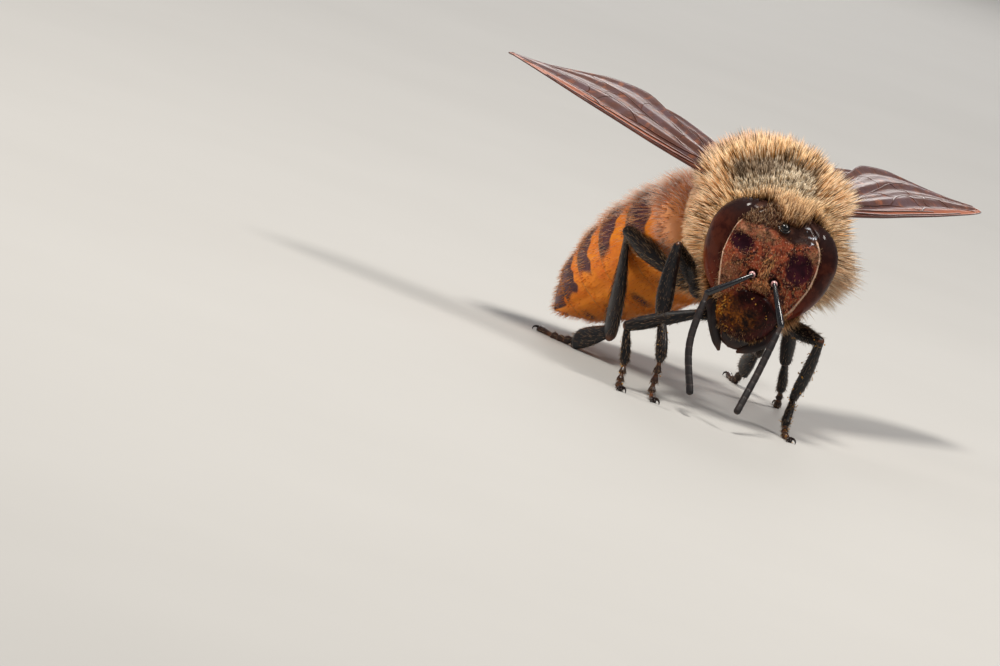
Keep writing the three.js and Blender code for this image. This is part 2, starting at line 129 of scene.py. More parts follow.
# Direction of each wing, how far its hind edge is raised at the root, and how much less at the tip.
WING_SPREAD = {
    "left": ([0.812, 0.565, 0.085], 13, 16),
    "right": ([-0.556, 0.819, 0.145], 12, 21),
}
DROOP_START = 0.55
# Place along the wing, leading edge and trailing edge, as shares of its length.
FOREWING = [
    [0, 0, -0.04], [0.08, 0.017, -0.09], [0.25, 0.02, -0.178], [0.45, 0.012, -0.262],
    [0.62, 0.005, -0.318], [0.75, -0.005, -0.318], [0.86, -0.018, -0.27], [0.94, -0.04, -0.21],
    [0.985, -0.072, -0.15], [1, -0.105, -0.115],
]
HINDWING = [
    [0, 0, -0.05], [0.12, 0.014, -0.17], [0.3, 0.014, -0.25], [0.5, -0.006, -0.285], [0.7, -0.03, -0.29],
    [0.85, -0.066, -0.26], [0.96, -0.12, -0.205], [1, -0.155, -0.165],
]
FOREWING_LENGTH = 9.15
HINDWING_LENGTH = 6.4
# Radius of each vein at its root, and its places: share of the length, and share of the way from the
# leading to the trailing edge.
FOREWING_VEINS = [
    (0.05, [[0, 0.2], [0.1, 0.1], [0.3, 0.04], [0.5, 0.035], [0.68, 0.03], [0.78, 0.03]]),
    (0.045, [[0, 0.45], [0.1, 0.24], [0.3, 0.13], [0.5, 0.09], [0.62, 0.07]]),
    (0.03, [[0.55, 0.08], [0.6, 0.14], [0.7, 0.15], [0.8, 0.12], [0.87, 0.09], [0.9, 0.05]]),
    (0.032, [[0.02, 0.55], [0.15, 0.36], [0.3, 0.29], [0.42, 0.26], [0.5, 0.2], [0.55, 0.08]]),
    (0.026, [[0.42, 0.26], [0.5, 0.36], [0.6, 0.38], [0.68, 0.34], [0.76, 0.3], [0.79, 0.18], [0.8, 0.12]]),
    (0.024, [[0.58, 0.375], [0.6, 0.25], [0.61, 0.14]]),
    (0.024, [[0.68, 0.34], [0.65, 0.24], [0.69, 0.15]]),
    (0.026, [[0.15, 0.36], [0.28, 0.5], [0.42, 0.58], [0.52, 0.6], [0.6, 0.62], [0.68, 0.64]]),
    (0.022, [[0.42, 0.58], [0.46, 0.45], [0.5, 0.36]]),
    (0.022, [[0.6, 0.62], [0.63, 0.5], [0.62, 0.38]]),
    (0.024, [[0.03, 0.72], [0.15, 0.68], [0.28, 0.76], [0.4, 0.84], [0.5, 0.9]]),
    (0.02, [[0.28, 0.5], [0.29, 0.64], [0.28, 0.76]]),
    (0.018, [[0.76, 0.3], [0.84, 0.4], [0.9, 0.5]]),
    (0.018, [[0.68, 0.64], [0.75, 0.72], [0.8, 0.85]]),
    (0.018, [[0.5, 0.6], [0.53, 0.75], [0.52, 0.9]]),
]
HINDWING_VEINS = [
    (0.04, [[0, 0.25], [0.15, 0.1], [0.35, 0.05], [0.55, 0.04], [0.68, 0.05]]),
    (0.03, [[0.02, 0.4], [0.2, 0.3], [0.4, 0.24], [0.5, 0.12], [0.55, 0.04]]),
    (0.026, [[0.2, 0.3], [0.35, 0.42], [0.55, 0.42], [0.75, 0.4], [0.88, 0.45]]),
    (0.022, [[0.4, 0.24], [0.42, 0.34], [0.4, 0.42]]),
    (0.024, [[0.02, 0.6], [0.2, 0.62], [0.4, 0.72], [0.6, 0.85]]),
    (0.02, [[0.35, 0.42], [0.36, 0.58], [0.4, 0.72]]),
]

FLOOR_HEIGHT = -THORAX_CENTRE[2]
FOOT = FLOOR_HEIGHT + 0.085
# Coxa, trochanter, knee and ankle, then the tarsus down to the floor.
LEGS = {
    "fore_right": ([[-0.5, -1.2, -1.6], [-0.6, -1.9, -2.2], [-2.24, -2.79, -2.57], [-3.91, -2.2, -3.5]],
                   [[-3.76, -2.5, -4.5], [-3.86, -2.86, FOOT], [-3.96, -3.3, FOOT]]),
    "fore_left": ([[0.5, -1.2, -1.6], [0.6, -1.9, -2.2], [1.24, -3.69, -2.3], [1.29, -3.02, -4.1]],
                  [[1.13, -3.42, -4.85], [1.04, -3.84, FOOT], [0.97, -4.4, FOOT]]),
    "mid_right": ([[-0.9, -0.3, -1.9], [-1.45, -0.35, -2.2], [-2.94, -1.61, -0.98], [-3.07, -2.36, -2.89]],
                  [[-3, -3.02, -3.9], [-3.02, -3.3, FOOT + 0.05], [-3.1, -3.8, FOOT]]),
    "mid_left": ([[0.9, -0.3, -1.9], [1.4, -0.15, -2.2], [2.4, 1.35, -1.75], [2.85, 1.95, -3.7]],
                 [[3.2, 2.4, -4.65], [3.4, 2.8, FOOT], [3.6, 3.3, FOOT]]),
    "hind_right": ([[-0.95, 0.9, -1.9], [-1.5, 1.1, -2.15], [-2.56, 3.27, -1.44], [-2.36, 2.61, -4.3]],
                   [[-2.62, 3.4, -4.72], [-2.95, 4.4, FOOT], [-3.3, 5.5, FOOT]]),
    "hind_left": ([[0.95, 0.9, -1.9], [1.5, 1.1, -2.15], [2.5, 3.1, -1.2], [3, 4.5, -3.8]],
                  [[3.16, 5.3, -4.45], [3.3, 6.1, FOOT], [3.45, 7, FOOT]]),
}
# Half widths of coxa, femur and tibia, each from its near end to its far end.
LEG_GIRTH = {
    "fore": ([0.36, 0.34, 0.22], [0.13, 0.21, 0.24, 0.2, 0.14], [0.13, 0.17, 0.2, 0.2, 0.15]),
    "mid": ([0.36, 0.34, 0.22], [0.13, 0.21, 0.25, 0.2, 0.14], [0.13, 0.19, 0.23, 0.25, 0.2]),
    "hind": ([0.4, 0.38, 0.24], [0.14, 0.24, 0.29, 0.24, 0.16], [0.14, 0.22, 0.32, 0.4, 0.42, 0.38]),
}
# Half widths of the first joint of a tarsus and of the others.
TARSUS_GIRTH = {"fore": [0.14, 0.1], "mid": [0.17, 0.11], "hind": [0.36, 0.13]}
# Where the five joints of a tarsus start and end.
TARSUS_JOINTS = [0, 0.5, 0.61, 0.71, 0.8, 1.001]
# Thickness over width of the shin, and of the start and the end of the tarsus's long first joint.
LEG_FLATNESS = {"fore": (0.85, 0.75, 0.8), "mid": (0.85, 0.75, 0.8), "hind": (0.42, 0.4, 0.5)}
# Grains of pollen on the face, by number, middle and width across and up, and on the legs by number.
FACE_POLLEN = [
    (30, (-0.72, -1.3), (0.07, 0.2)), (12, (-0.4, -1.78), (0.16, 0.07)),
    (6, (0.1, -1.3), (0.5, 0.5)), (4, (0.1, -0.4), (0.3, 0.2)),
]
LEG_POLLEN = [
    ("fore_left", "tibia", 30), ("fore_left", "tarsus", 30), ("fore_right", "tarsus", 12),
    ("mid_right", "tarsus", 10), ("fore_left", "femur", 10),
]
# Hairs of each segment of a leg, their length, and how dark they are.
LEG_HAIR = {
    "coxa": (380, 0.34, 0.1),
    "femur": (480, 0.18, 0.55),
    "tibia": (380, 0.12, 1),
    "tarsus": (480, 0.13, 0.8),
}

# Azimuth, elevation and roll of the camera in degrees, and its distance from the thorax.
CAMERA_TURN = (-23, 5, 18)
CAMERA_DISTANCE = 250
# How far the middle of the view lies from the thorax, to the right and up.
CAMERA_AIM = (-261 / 35, -105 / 35)
CAMERA_LENS, CAMERA_SENSOR = 315, 36
# Direction of each light across, up and towards the camera, its distance and width in metres, and its
# power and colour.
LIGHTS = {
    "key": ((0.12, 0.96, 0.26), 0.2, 0.034, 0.36, (1, 0.95, 0.87)),
    "side": ((0.77, 0.61, 0.22), 0.2, 0.034, 0.21, (1, 0.94, 0.88)),
    "fill": ((-0.93, 0.42, 0.16), 0.24, 0.06, 0.31, (1, 0.93, 0.86)),
    "rim": ((0.1, 0.5, -0.9), 0.25, 0.07, 0.14, (1, 0.97, 0.94)),
}
SKY_COLOUR, SKY_POWER = (0.9, 0.92, 0.95, 1), 0.24
FLOOR_RADIUS, FLOOR_CORNERS = 2, 64


# ---------- sizes and colours that a user can change ----------
def tint(name, description, default):
    return FloatVectorProperty(
        name=name, description=description, default=default, size=3, min=0, max=1, subtype="COLOR",
    )


def length(name, description, default):
    return FloatProperty(
        name=name, description=description, default=default, min=0, precision=6, unit="LENGTH",
    )


class BeeSizes(PropertyGroup):
    """Sizes of the finer parts of the bee."""

    hair_radius: length("Hair radius", "Radius of a hair of the thorax at its root", 0.0000175)
    antenna_radius: length("Antenna radius", "Radius of a flagellum", 0.000105)
    wing_thickness: length("Wing thickness", "Thickness of the wing membrane", 0.000012)
    facet_width: length("Facet width", "Distance between the facets of a compound eye", 0.00003)
    pollen_radius: length("Pollen radius", "Radius of a grain of pollen", 0.000015)
    thorax_hairs: IntProperty(name="Thorax hairs", description="Hairs on the thorax", default=50000, min=1000)


class BeeColours(PropertyGroup):
    """Colours of the coat, shell, wings and floor."""

    # The root colour partly stands for painted shade deep in the coat, and the tip colour partly for a
    # painted glow through the tips.
    fur_root: tint("Fur root", "Colour of the long fur near the skin", (0.03, 0.014, 0.006))
    fur_gold: tint("Fur gold", "Colour of the long fur at its middle", (0.84, 0.42, 0.12))
    fur_tip: tint("Fur tip", "Colour of the tips of the fur", (1.0, 0.78, 0.5))
    fur_ruff: tint("Ruff", "Colour of the ruff beside the head", (1.0, 0.53, 0.2))
    fur_flank: tint("Flank fur", "Colour of the smooth fur of the flanks", (0.95, 0.4, 0.16))
    fur_silver: tint("Silver fur", "Colour of the short fur of the back", (0.72, 0.56, 0.38))
    shell: tint("Shell", "Darkest colour of head, thorax and legs", (0.014, 0.009, 0.008))
    face: tint("Face", "Red brown of the face", (0.26, 0.052, 0.024))
    # The eye rim's pale line is a painted highlight along the raised inner edge of the eyes.
    rim: tint("Eye rim", "Pale line along the inner edge of the eyes", (0.74, 0.5, 0.37))
    eye: tint("Eye", "Colour of the compound eyes", (0.026, 0.005, 0.0035))
    eye_low: tint("Lower eye", "Warmer colour at the lower edge of the eyes", (0.12, 0.017, 0.006))
    orange: tint("Orange plates", "Orange of the abdomen", (0.95, 0.3, 0.02))
    band: tint("Dark bands", "Dark bands of the abdomen", (0.12, 0.046, 0.05))
    wing: tint("Wing", "Tint of the wing membrane", (0.1, 0.045, 0.035))
    vein: tint("Veins", "Colour of the wing veins", (0.06, 0.016, 0.009))
    pollen: tint("Pollen", "Colour of the pollen grains", (0.45, 0.22, 0.02))
    floor: tint("Floor", "Colour of the floor", (0.45, 0.444, 0.43))


def sizes():
    return bpy.context.scene.bee_sizes


def colours():
    return bpy.context.scene.bee_colours


# ---------- finishes ----------
class Value:
    """An output of a finish's nodes. Sums, products and so on of it add Math nodes."""

    def __init__(self, finish, socket):
        self.finish, self.socket = finish, socket

    def math(self, operation, *others):
        operands = dict(enumerate((self, *others)))
        return self.finish.node("ShaderNodeMath", {"operation": operation}, operands)

    def __add__(self, other):
        return self.math("ADD", other)

    __radd__ = __add__

    def __mul__(self, other):
        return self.math("MULTIPLY", other)

    __rmul__ = __mul__

    def __sub__(self, other):
        return self.math("SUBTRACT", other)

    def __rsub__(self, other):
        return self.finish.node("ShaderNodeMath", {"operation": "SUBTRACT"}, {0: other, 1: self})

    def cosine(self):
        return self.math("COSINE")

    def step(self, low, high):
        """0 below low, 1 above high, and a soft step between them. Low may be the larger."""
        settings = {"interpolation_type": "SMOOTHSTEP"}
        inputs = {"Value": self, "From Min": min(low, high), "From Max": max(low, high)}
        rising = self.finish.node("ShaderNodeMapRange", settings, inputs)
        return rising if low < high else 1 - rising


class Finish:
    """A material, built up from expressions on its own nodes."""

    def __init__(self, name):
        self.material = bpy.data.materials.new(name)
        self.material.use_nodes = True
        self.tree = self.material.node_tree
        self.tree.nodes.clear()
        self.output = self.tree.nodes.new("ShaderNodeOutputMaterial")
        self.surface = self.tree.nodes.new("ShaderNodeBsdfPrincipled")
        self.tree.links.new(self.surface.outputs[0], self.output.inputs["Surface"])

    def give(self, socket, value):
        if isinstance(value, Value):
            self.tree.links.new(value.socket, socket)
        elif socket.type == "RGBA":
            socket.default_value = (*tuple(value)[:3], 1)
        else:
            socket.default_value = value

    def node(self, kind, settings=None, inputs=None, output=0):
        """Adds a node with its settings and its inputs, by name or number, and gives one of its outputs."""
        made = self.tree.nodes.new(kind)
        for name, value in (settings or {}).items():
            setattr(made, name, value)
        for name, value in (inputs or {}).items():
            self.give(made.inputs[name], value)
        return Value(self, made.outputs[output])

    def millimetres(self, stretch=(1, 1, 1)):
        """Places on the bee in millimetres, stretched along the axes."""
        place = self.node("ShaderNodeTexCoord", output="Object")
        factors = tuple(each / METRES for each in stretch)
        return self.node("ShaderNodeVectorMath", {"operation": "MULTIPLY"}, {0: place, 1: factors})

    def noise(self, scale, detail=3, roughness=0.55, distortion=0, stretch=(1, 1, 1)):
        inputs = {
            "Vector": self.millimetres(stretch), "Scale": scale, "Detail": detail,
            "Roughness": roughness, "Distortion": distortion,
        }
        return self.node("ShaderNodeTexNoise", inputs=inputs)

    def cells(self, scale):
        inputs = {"Vector": self.millimetres(), "Scale": scale}
        return self.node("ShaderNodeTexVoronoi", inputs=inputs, output="Distance")

    def painted(self, name):
        return self.node("ShaderNodeAttribute", {"attribute_name": name}, output="Fac")

    def blend(self, share, first, second):
        """The first colour where the share is 0 and the second where it is 1."""
        return self.node("ShaderNodeMix", {"data_type": "RGBA"}, {0: share, 6: first, 7: second}, output=2)

    def layers(self, colour, *coats):
        """Lays each coat's shade over the colour by its share."""
        for share, shade in coats:
            colour = self.blend(share, colour, shade)
        return colour

    def relief(self, height, depth, strength=1, over=None):
        """Raises the surface by height times depth, in millimetres."""
        inputs = {"Height": height, "Distance": depth * METRES, "Strength": strength}
        if over is not None:
            inputs["Normal"] = over
        return self.node("ShaderNodeBump", inputs=inputs)

    def shade(self, colour, rough, normal, gloss=0, gloss_rough=0.03, shine=0.5, opaque=1):
        """Sets the shader's sockets, with its clear coat's weight as gloss, and gives the material."""
        sockets = {
            "Base Color": colour, "Roughness": rough, "Normal": normal, "Coat Weight": gloss,
            "Coat Roughness": gloss_rough, "Specular IOR Level": shine, "Alpha": opaque,
        }
        for name, value in sockets.items():
            self.give(self.surface.inputs[name], value)
        return self.material


# ---------- numbers, axes and curves ----------
def unit(vectors):
    vectors = np.asarray(vectors, float)
    return vectors / np.maximum(np.linalg.norm(vectors, axis=-1, keepdims=True), 1e-12)


def full_turn(count):
    """Angles at even steps right round, without the last one that would meet the first."""
    return np.linspace(0, math.tau, count, endpoint=False)


def turned(vector, axis, degrees):
    return np.array(Matrix.Rotation(math.radians(degrees), 3, Vector(axis)) @ Vector(vector))


def facing(yaw, pitch, roll):
    """Left, forward and up of something that faces -Y and is turned to its right, nodded and leaned."""
    axes = [np.array([1.0, 0, 0]), np.array([0, -1.0, 0]), np.array([0, 0, 1.0])]
    for index, degrees in ((2, -yaw), (0, pitch), (1, -roll)):
        around = axes[index].copy()
        axes = [turned(each, around, degrees) for each in axes]
    return np.array(axes)


def soft_step(values, low, high):
    share = np.clip((values - low) / (high - low), 0, 1)
    return share * share * (3 - 2 * share)


def hill(*ratios):
    """1 at the middle, falling away as each ratio nears 1 and beyond."""
    return np.exp(-sum(np.square(ratio) for ratio in ratios))


def cubic(share, start, leave, end, arrive, width=1):
    """A curve from start to end that leaves and arrives at the given slopes."""
    square, cube = share**2, share**3
    return (
        (2 * cube - 3 * square + 1) * start + (cube - 2 * square + share) * width * leave
        + (3 * square - 2 * cube) * end + (cube - square) * width * arrive
    )


def look_up(table, places, column=1):
    """A smooth curve through a table's rows that never overshoots them."""
    table = np.asarray(table, float)
    starts, values = table[:, 0], table[:, column]
    widths = np.diff(starts)
    rises = np.diff(values) / widths
    slopes = np.zeros(len(values))
    slopes[0], slopes[-1] = rises[0], rises[-1]
    same_way = rises[:-1] * rises[1:] > 0
    near, far = 2 * widths[1:] + widths[:-1], widths[1:] + 2 * widths[:-1]
    before, after = np.where(same_way, rises[:-1], 1), np.where(same_way, rises[1:], 1)
    slopes[1:-1] = np.where(same_way, (near + far) / (near / before + far / after), 0)
    places = np.asarray(places, float)
    row = np.clip(np.searchsorted(starts, places) - 1, 0, len(widths) - 1)
    width = widths[row]
    share = np.clip((places - starts[row]) / width, 0, 1)
    return cubic(share, values[row], slopes[row], values[row + 1], slopes[row + 1], width)


def smooth_path(points, steps):
    """Points at even steps along a rounded curve through the given ones."""
    points = np.asarray(points, float)
    gaps = np.sqrt(np.linalg.norm(np.diff(points, axis=0), axis=1))
    before = points[0] - (points[1] - points[0])
    after = points[-1] + (points[-1] - points[-2])
    padded = np.vstack([before, points, after])
    fine = []
    for index in range(len(points) - 1):
        p0, p1, p2, p3 = padded[index : index + 4]
        middle_gap = gaps[index]
        first_gap = gaps[index - 1] if index else middle_gap
        last_gap = gaps[index + 1] if index + 1 < len(gaps) else middle_gap
        leave = (p1 - p0) / first_gap - (p2 - p0) / (first_gap + middle_gap) + (p2 - p1) / middle_gap
        arrive = (p2 - p1) / middle_gap - (p3 - p1) / (middle_gap + last_gap) + (p3 - p2) / last_gap
        leave, arrive = leave * middle_gap, arrive * middle_gap
        fine += [cubic(share, p1, leave, p2, arrive) for share in np.linspace(0, 1, 24, endpoint=False)]
    fine = np.array([*fine, points[-1]])
    run = np.concatenate([[0], np.cumsum(np.linalg.norm(np.diff(fine, axis=0), axis=1))])
    places = np.linspace(0, run[-1], steps)
    return np.column_stack([np.interp(places, run, fine[:, axis]) for axis in range(3)])


def carried_axes(path, across=None):
    """Direction, width and thickness at each point of a path, near to across or else without twist."""
    along = unit(np.gradient(path, axis=0))
    wides = []
    wide = np.array([0.31, 0.17, 0.93])
    for direction in along:
        wide = wide if across is None else np.asarray(across, float)
        wide = unit(wide - direction * (wide @ direction))
        wides.append(wide)
    wides = np.array(wides)
    return along, wides, np.cross(along, wides)


# ---------- surfaces ----------
def grid_faces(rows, columns, wrap_rows=False, wrap_columns=False):
    """The corners of the faces of a grid of points, which may wrap round either way."""
    index = np.arange(rows * columns).reshape(rows, columns)
    index = np.pad(index, ((0, wrap_rows), (0, wrap_columns)), mode="wrap")
    return np.stack([index[:-1, :-1], index[:-1, 1:], index[1:, 1:], index[1:, :-1]], axis=-1).reshape(-1, 4)


class Surface:
    """A grid of points with its outward directions and its own flat map, to grow hairs on."""

    def __init__(self, points, flat=None):
        self.points = points
        rows, columns = points.shape[:2]
        normals = unit(np.cross(np.gradient(points, axis=1), np.gradient(points, axis=0)))
        if np.sum(normals * (points - points.mean(axis=(0, 1)))) < 0:
            normals = -normals
        self.normals = normals
        if flat is None:
            across, down = np.meshgrid(np.linspace(0, 1, columns), np.linspace(0, 1, rows))
            flat = np.stack([across, down], axis=-1)
        self.flat = flat

    def scatter(self, count, density, rng):
        """Chooses hair roots, as many to a square millimetre as the density asks for."""
        a, b, c = self.points[:-1, :-1], self.points[:-1, 1:], self.points[1:, :-1]
        weight = np.linalg.norm(np.cross(b - a, c - a), axis=-1)
        weight = weight * (density[:-1, :-1] + density[1:, :-1] + density[:-1, 1:] + density[1:, 1:])
        cell = rng.choice(weight.size, count, p=weight.ravel() / weight.sum())
        rows, columns = np.unravel_index(cell, weight.shape)
        down, across = rng.random((2, count, 1))

        def between(field):
            upper = field[rows, columns] * (1 - across) + field[rows, columns + 1] * across
            lower = field[rows + 1, columns] * (1 - across) + field[rows + 1, columns + 1] * across
            return upper * (1 - down) + lower * down

        return between(self.points), unit(between(self.normals)), between(self.flat)


class Shape:
    """Points, faces and painted values of one piece while it is being made."""

    def __init__(self):
        self.points, self.quads, self.triangles, self.paints = [], [], [], {}
        self.quad_map, self.triangle_map = [], []
        self.count = 0

    def add(self, points, quads=(), triangles=(), quad_map=None, triangle_map=None, **paint):
        points = np.asarray(points, float).reshape(-1, 3)
        self.quads.append(np.asarray(quads, int).reshape(-1, 4) + self.count)
        self.triangles.append(np.asarray(triangles, int).reshape(-1, 3) + self.count)
        if quad_map is not None:
            self.quad_map.append(quad_map.reshape(-1, 2))
            self.triangle_map.append(triangle_map.reshape(-1, 2))
        for name, values in paint.items():
            values = np.broadcast_to(np.asarray(values, float).ravel(), len(points))
            self.paints.setdefault(name, []).append((self.count, values))
        self.points.append(points)
        self.count += len(points)

    def add_grid(self, points, **paint):
        """Adds rows of points that wrap round, with a fan over each end."""
        rows, columns = points.shape[:2]
        quads = grid_faces(rows, columns, wrap_columns=True)
        first = np.arange(columns)
        last = first + (rows - 1) * columns
        near_tip, far_tip = np.full((2, columns), [[rows * columns], [rows * columns + 1]])
        fan = np.concatenate([
            np.column_stack([np.roll(first, -1), first, near_tip]),
            np.column_stack([last, np.roll(last, -1), far_tip]),
        ])

        def tipped(values):
            values = np.broadcast_to(values, (rows, columns))
            return np.concatenate([values.ravel(), [values[0].mean(), values[-1].mean()]])

        tips = [points[0].mean(axis=0), points[-1].mean(axis=0)]
        paint = {name: tipped(values) for name, values in paint.items()}
        self.add(np.vstack([points.reshape(-1, 3), tips]), quads, fan, **paint)

    def add_sheet(self, points, thickness, **paint):
        """Adds rows of points as a closed sheet of the given thickness."""
        half = Surface(points).normals * thickness / 2
        rows, columns = points.shape[:2]
        index = np.arange(rows * columns).reshape(rows, columns)
        face = grid_faces(rows, columns)
        other = face[:, ::-1] + rows * columns
        edge = np.concatenate([index[0], index[1:, -1], index[-1, -2::-1], index[-2:0:-1, 0]])
        after = np.roll(edge, -1)
        wall = np.column_stack([after, edge, edge + rows * columns, after + rows * columns])
        both = np.vstack([(points + half).reshape(-1, 3), (points - half).reshape(-1, 3)])
        for name, values in paint.items():
            paint[name] = np.tile(np.broadcast_to(values, (rows, columns)).ravel(), 2)
        self.add(both, np.vstack([face, other, wall]), **paint)

    def piece(self, name, material, slot, *nodes):
        """Writes the piece out as an object that rides with the bee and stands for its frame nodes."""
        mesh = bpy.data.meshes.new(name)
        points = (np.concatenate(self.points) + THORAX_CENTRE) * METRES
        faces = np.concatenate(self.quads).tolist() + np.concatenate(self.triangles).tolist()
        mesh.from_pydata(points.tolist(), [], faces)
        mesh.shade_smooth()
        for paint_name, parts in sorted(self.paints.items()):
            values = np.zeros(len(points))
            for start, part in parts:
                values[start : start + len(part)] = part
            mesh.attributes.new(paint_name, "FLOAT", "POINT").data.foreach_set("value", values)
        if self.quad_map:
            flat = np.concatenate([*self.quad_map, *self.triangle_map])
            mesh.uv_layers.new(name="OFBake").data.foreach_set("uv", flat.ravel())
        mesh.materials.append(material)
        mesh.validate()
        made = bpy.data.objects.new(name, mesh)
        bpy.context.scene.collection.objects.link(made)
        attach(made, "root")
        if nodes:
            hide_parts(*nodes)


def rings_round(centres, wide, thin, girths, sides, flatness=1.0):
    """A ring of points round each centre, thinned by flatness along the second axis."""
    around = full_turn(sides)
    thinned = np.asarray(flatness)[..., None] * np.sin(around)
    ring = wide[:, None] * np.cos(around)[:, None] + thin[:, None] * thinned[..., None]
    return centres[:, None] + ring * girths[:, None, None]


def tube(path, radii, sides=16, steps=24, flatness=1.0, across=None, round_ends=4):
    """Rings round a path, with domed ends. Flatness thins the section at right angles to across."""
    line = smooth_path(path, steps)
    along, wide, thin = carried_axes(line, across)
    table = np.column_stack([np.linspace(0, 1, len(radii)), radii])
    radius = look_up(table, np.linspace(0, 1, steps))
    angles = np.linspace(0, math.pi / 2, round_ends + 1)[1:] * 0.96
    near = [line[0] - along[0] * radius[0] * 0.8 * math.sin(angle) for angle in angles[::-1]]
    far = [line[-1] + along[-1] * radius[-1] * 0.8 * math.sin(angle) for angle in angles]
    narrowing = np.array([math.cos(angle) for angle in angles])
    centres = np.array([*near, *line, *far])
    girths = np.concatenate([radius[0] * narrowing[::-1], radius, radius[-1] * narrowing])
    row = np.clip(np.arange(-round_ends, steps + round_ends), 0, steps - 1)
    return rings_round(centres, wide[row], thin[row], girths, sides, flatness)


def write_joined(name, material, slot, node, bodies):
    """Writes one piece made of several bodies, each with how much its shell is painted as a joint."""
    shape = Shape()
    for points, joint in bodies:
        shape.add_grid(points, joint=joint)
    shape.piece(name, material, slot, node)


def closed_columns(points):
    """Repeats the first column at the end, so that the grid goes right round."""
    return np.concatenate([points, points[:, :1]], axis=1)


# ---------- hairs ----------
# Width of each hair's own patch of the flat map.
PATCH = 0.003


def hair_pattern(rings):
    """Faces of one three-sided hair, and where their corners lie on its patch of the flat map."""
    quads, quad_map, triangles, triangle_map = [], [], [], []
    heights = np.linspace(0, 1, rings + 1)
    for ring in range(rings - 1):
        for side in range(3):
            after = (side + 1) % 3
            quads.append([ring * 3 + side, ring * 3 + after, ring * 3 + 3 + after, ring * 3 + 3 + side])
            left, right, low, high = side / 3, (side + 1) / 3, heights[ring], heights[ring + 1]
            quad_map.append([[left, low], [right, low], [right, high], [left, high]])
    last, tip = (rings - 1) * 3, rings * 3
    for side in range(3):
        triangles.append([last + side, last + (side + 1) % 3, tip])
        triangle_map.append([[side / 3, heights[-2]], [(side + 1) / 3, heights[-2]], [(side + 0.5) / 3, 1]])
    triangles.append([2, 1, 0])
    triangle_map.append([[0, 0], [0.5, 0.1], [1, 0]])
    return np.array(quads), np.array(quad_map), np.array(triangles), np.array(triangle_map)


class Hairs:
    """Hairs that have been given a root, a direction, a length and their painted values."""

    FORM = ("root", "way", "bend", "flat", "length", "radius")

    def __init__(self):
        self.fields = {}

    def add(self, root, way, bend, length, radius, flat, **paint):
        """Adds a hair at each root, where each other value is one for all of them or one for each."""
        values = dict(zip(self.FORM, (root, unit(way), bend, flat, length, radius)))
        for key, value in (values | paint).items():
            value = np.asarray(value, float)
            value = value if value.ndim == 2 else np.broadcast_to(value, len(root))
            self.fields.setdefault(key, []).append(value)

    def joined(self):
        return {key: np.concatenate(values) for key, values in self.fields.items()}

    def gather(self, size, pull, rng):
        """Draws the tips of neighbouring hairs together into locks that share a tone."""
        hair = self.joined()
        tips = hair["root"] + (hair["way"] + hair["bend"]) * hair["length"][:, None]
        # The cells that the locks are drawn from stand askew, so that their rows don't show.
        turn = np.array(Matrix.Rotation(0.7, 3, Vector((0.4, 0.8, 0.45))))
        cell = np.floor((hair["root"] @ turn + rng.normal(0, size * 0.22, tips.shape)) / size).astype(int)
        _, lock = np.unique(cell, axis=0, return_inverse=True)
        lock = lock.ravel()
        total = np.maximum(np.bincount(lock), 1)
        middle = np.column_stack([np.bincount(lock, tips[:, axis]) / total for axis in range(3)])[lock]
        amount = pull * rng.uniform(0.4, 1, (len(tips), 1))
        hair["bend"] = hair["bend"] + (middle - tips) * amount / hair["length"][:, None]
        hair["length"] = hair["length"] * rng.uniform(0.8, 1.12, len(total))[lock]
        hair["tone"] = 0.7 * hair["tone"] + 0.3 * rng.random(len(total))[lock]
        self.fields = {key: [values] for key, values in hair.items()}

    def pieces(self, name, material, slot, nodes, rings, limit=190000):
        """Writes the hairs out as pieces of no more triangles than the limit, each spread over the coat."""
        hair = self.joined()
        quads, quad_map, triangles, triangle_map = hair_pattern(rings)
        per_hair = len(quads) * 2 + len(triangles)
        count = len(hair["root"])
        parts = max(1, math.ceil(count * per_hair / limit))
        heights = np.linspace(0, 1, rings + 1)
        widths = np.append(np.linspace(1, 0.55, rings), 0)
        around = np.arange(3) * math.tau / 3
        order = np.random.default_rng(3).permutation(count)
        for part in range(parts):
            pick = order[part::parts]
            root, way, bend = hair["root"][pick], hair["way"][pick], hair["bend"][pick]
            length, radius = hair["length"][pick, None], hair["radius"][pick, None, None]
            aside = unit(np.cross(way, unit(np.roll(way, 1, axis=1) + [0.3, 0.1, 0.2])))
            other = np.cross(way, aside)
            points = np.empty((len(pick), rings * 3 + 1, 3))
            for ring in range(rings):
                place = heights[ring]
                centre = root + (way * place + bend * place**2) * length
                spoke = aside[:, None] * np.cos(around)[:, None] + other[:, None] * np.sin(around)[:, None]
                points[:, ring * 3 : ring * 3 + 3] = centre[:, None] + spoke * radius * widths[ring]
            points[:, -1] = root + (way + bend) * length
            first = np.arange(len(pick))[:, None, None] * (rings * 3 + 1)
            corner = (0.005 + hair["flat"][pick] * (0.99 - PATCH))[:, None, None]
            along = np.tile(np.append(np.repeat(heights[:-1], 3), 1), len(pick))
            paint = {key: np.repeat(hair[key][pick], rings * 3 + 1) for key in hair if key not in self.FORM}
            shape = Shape()
            shape.add(points, quads + first, triangles + first, corner + quad_map * PATCH,
                      corner + triangle_map * PATCH, along=along, **paint)
            shape.piece(f"{name}_{part + 1}", material, slot, *nodes)


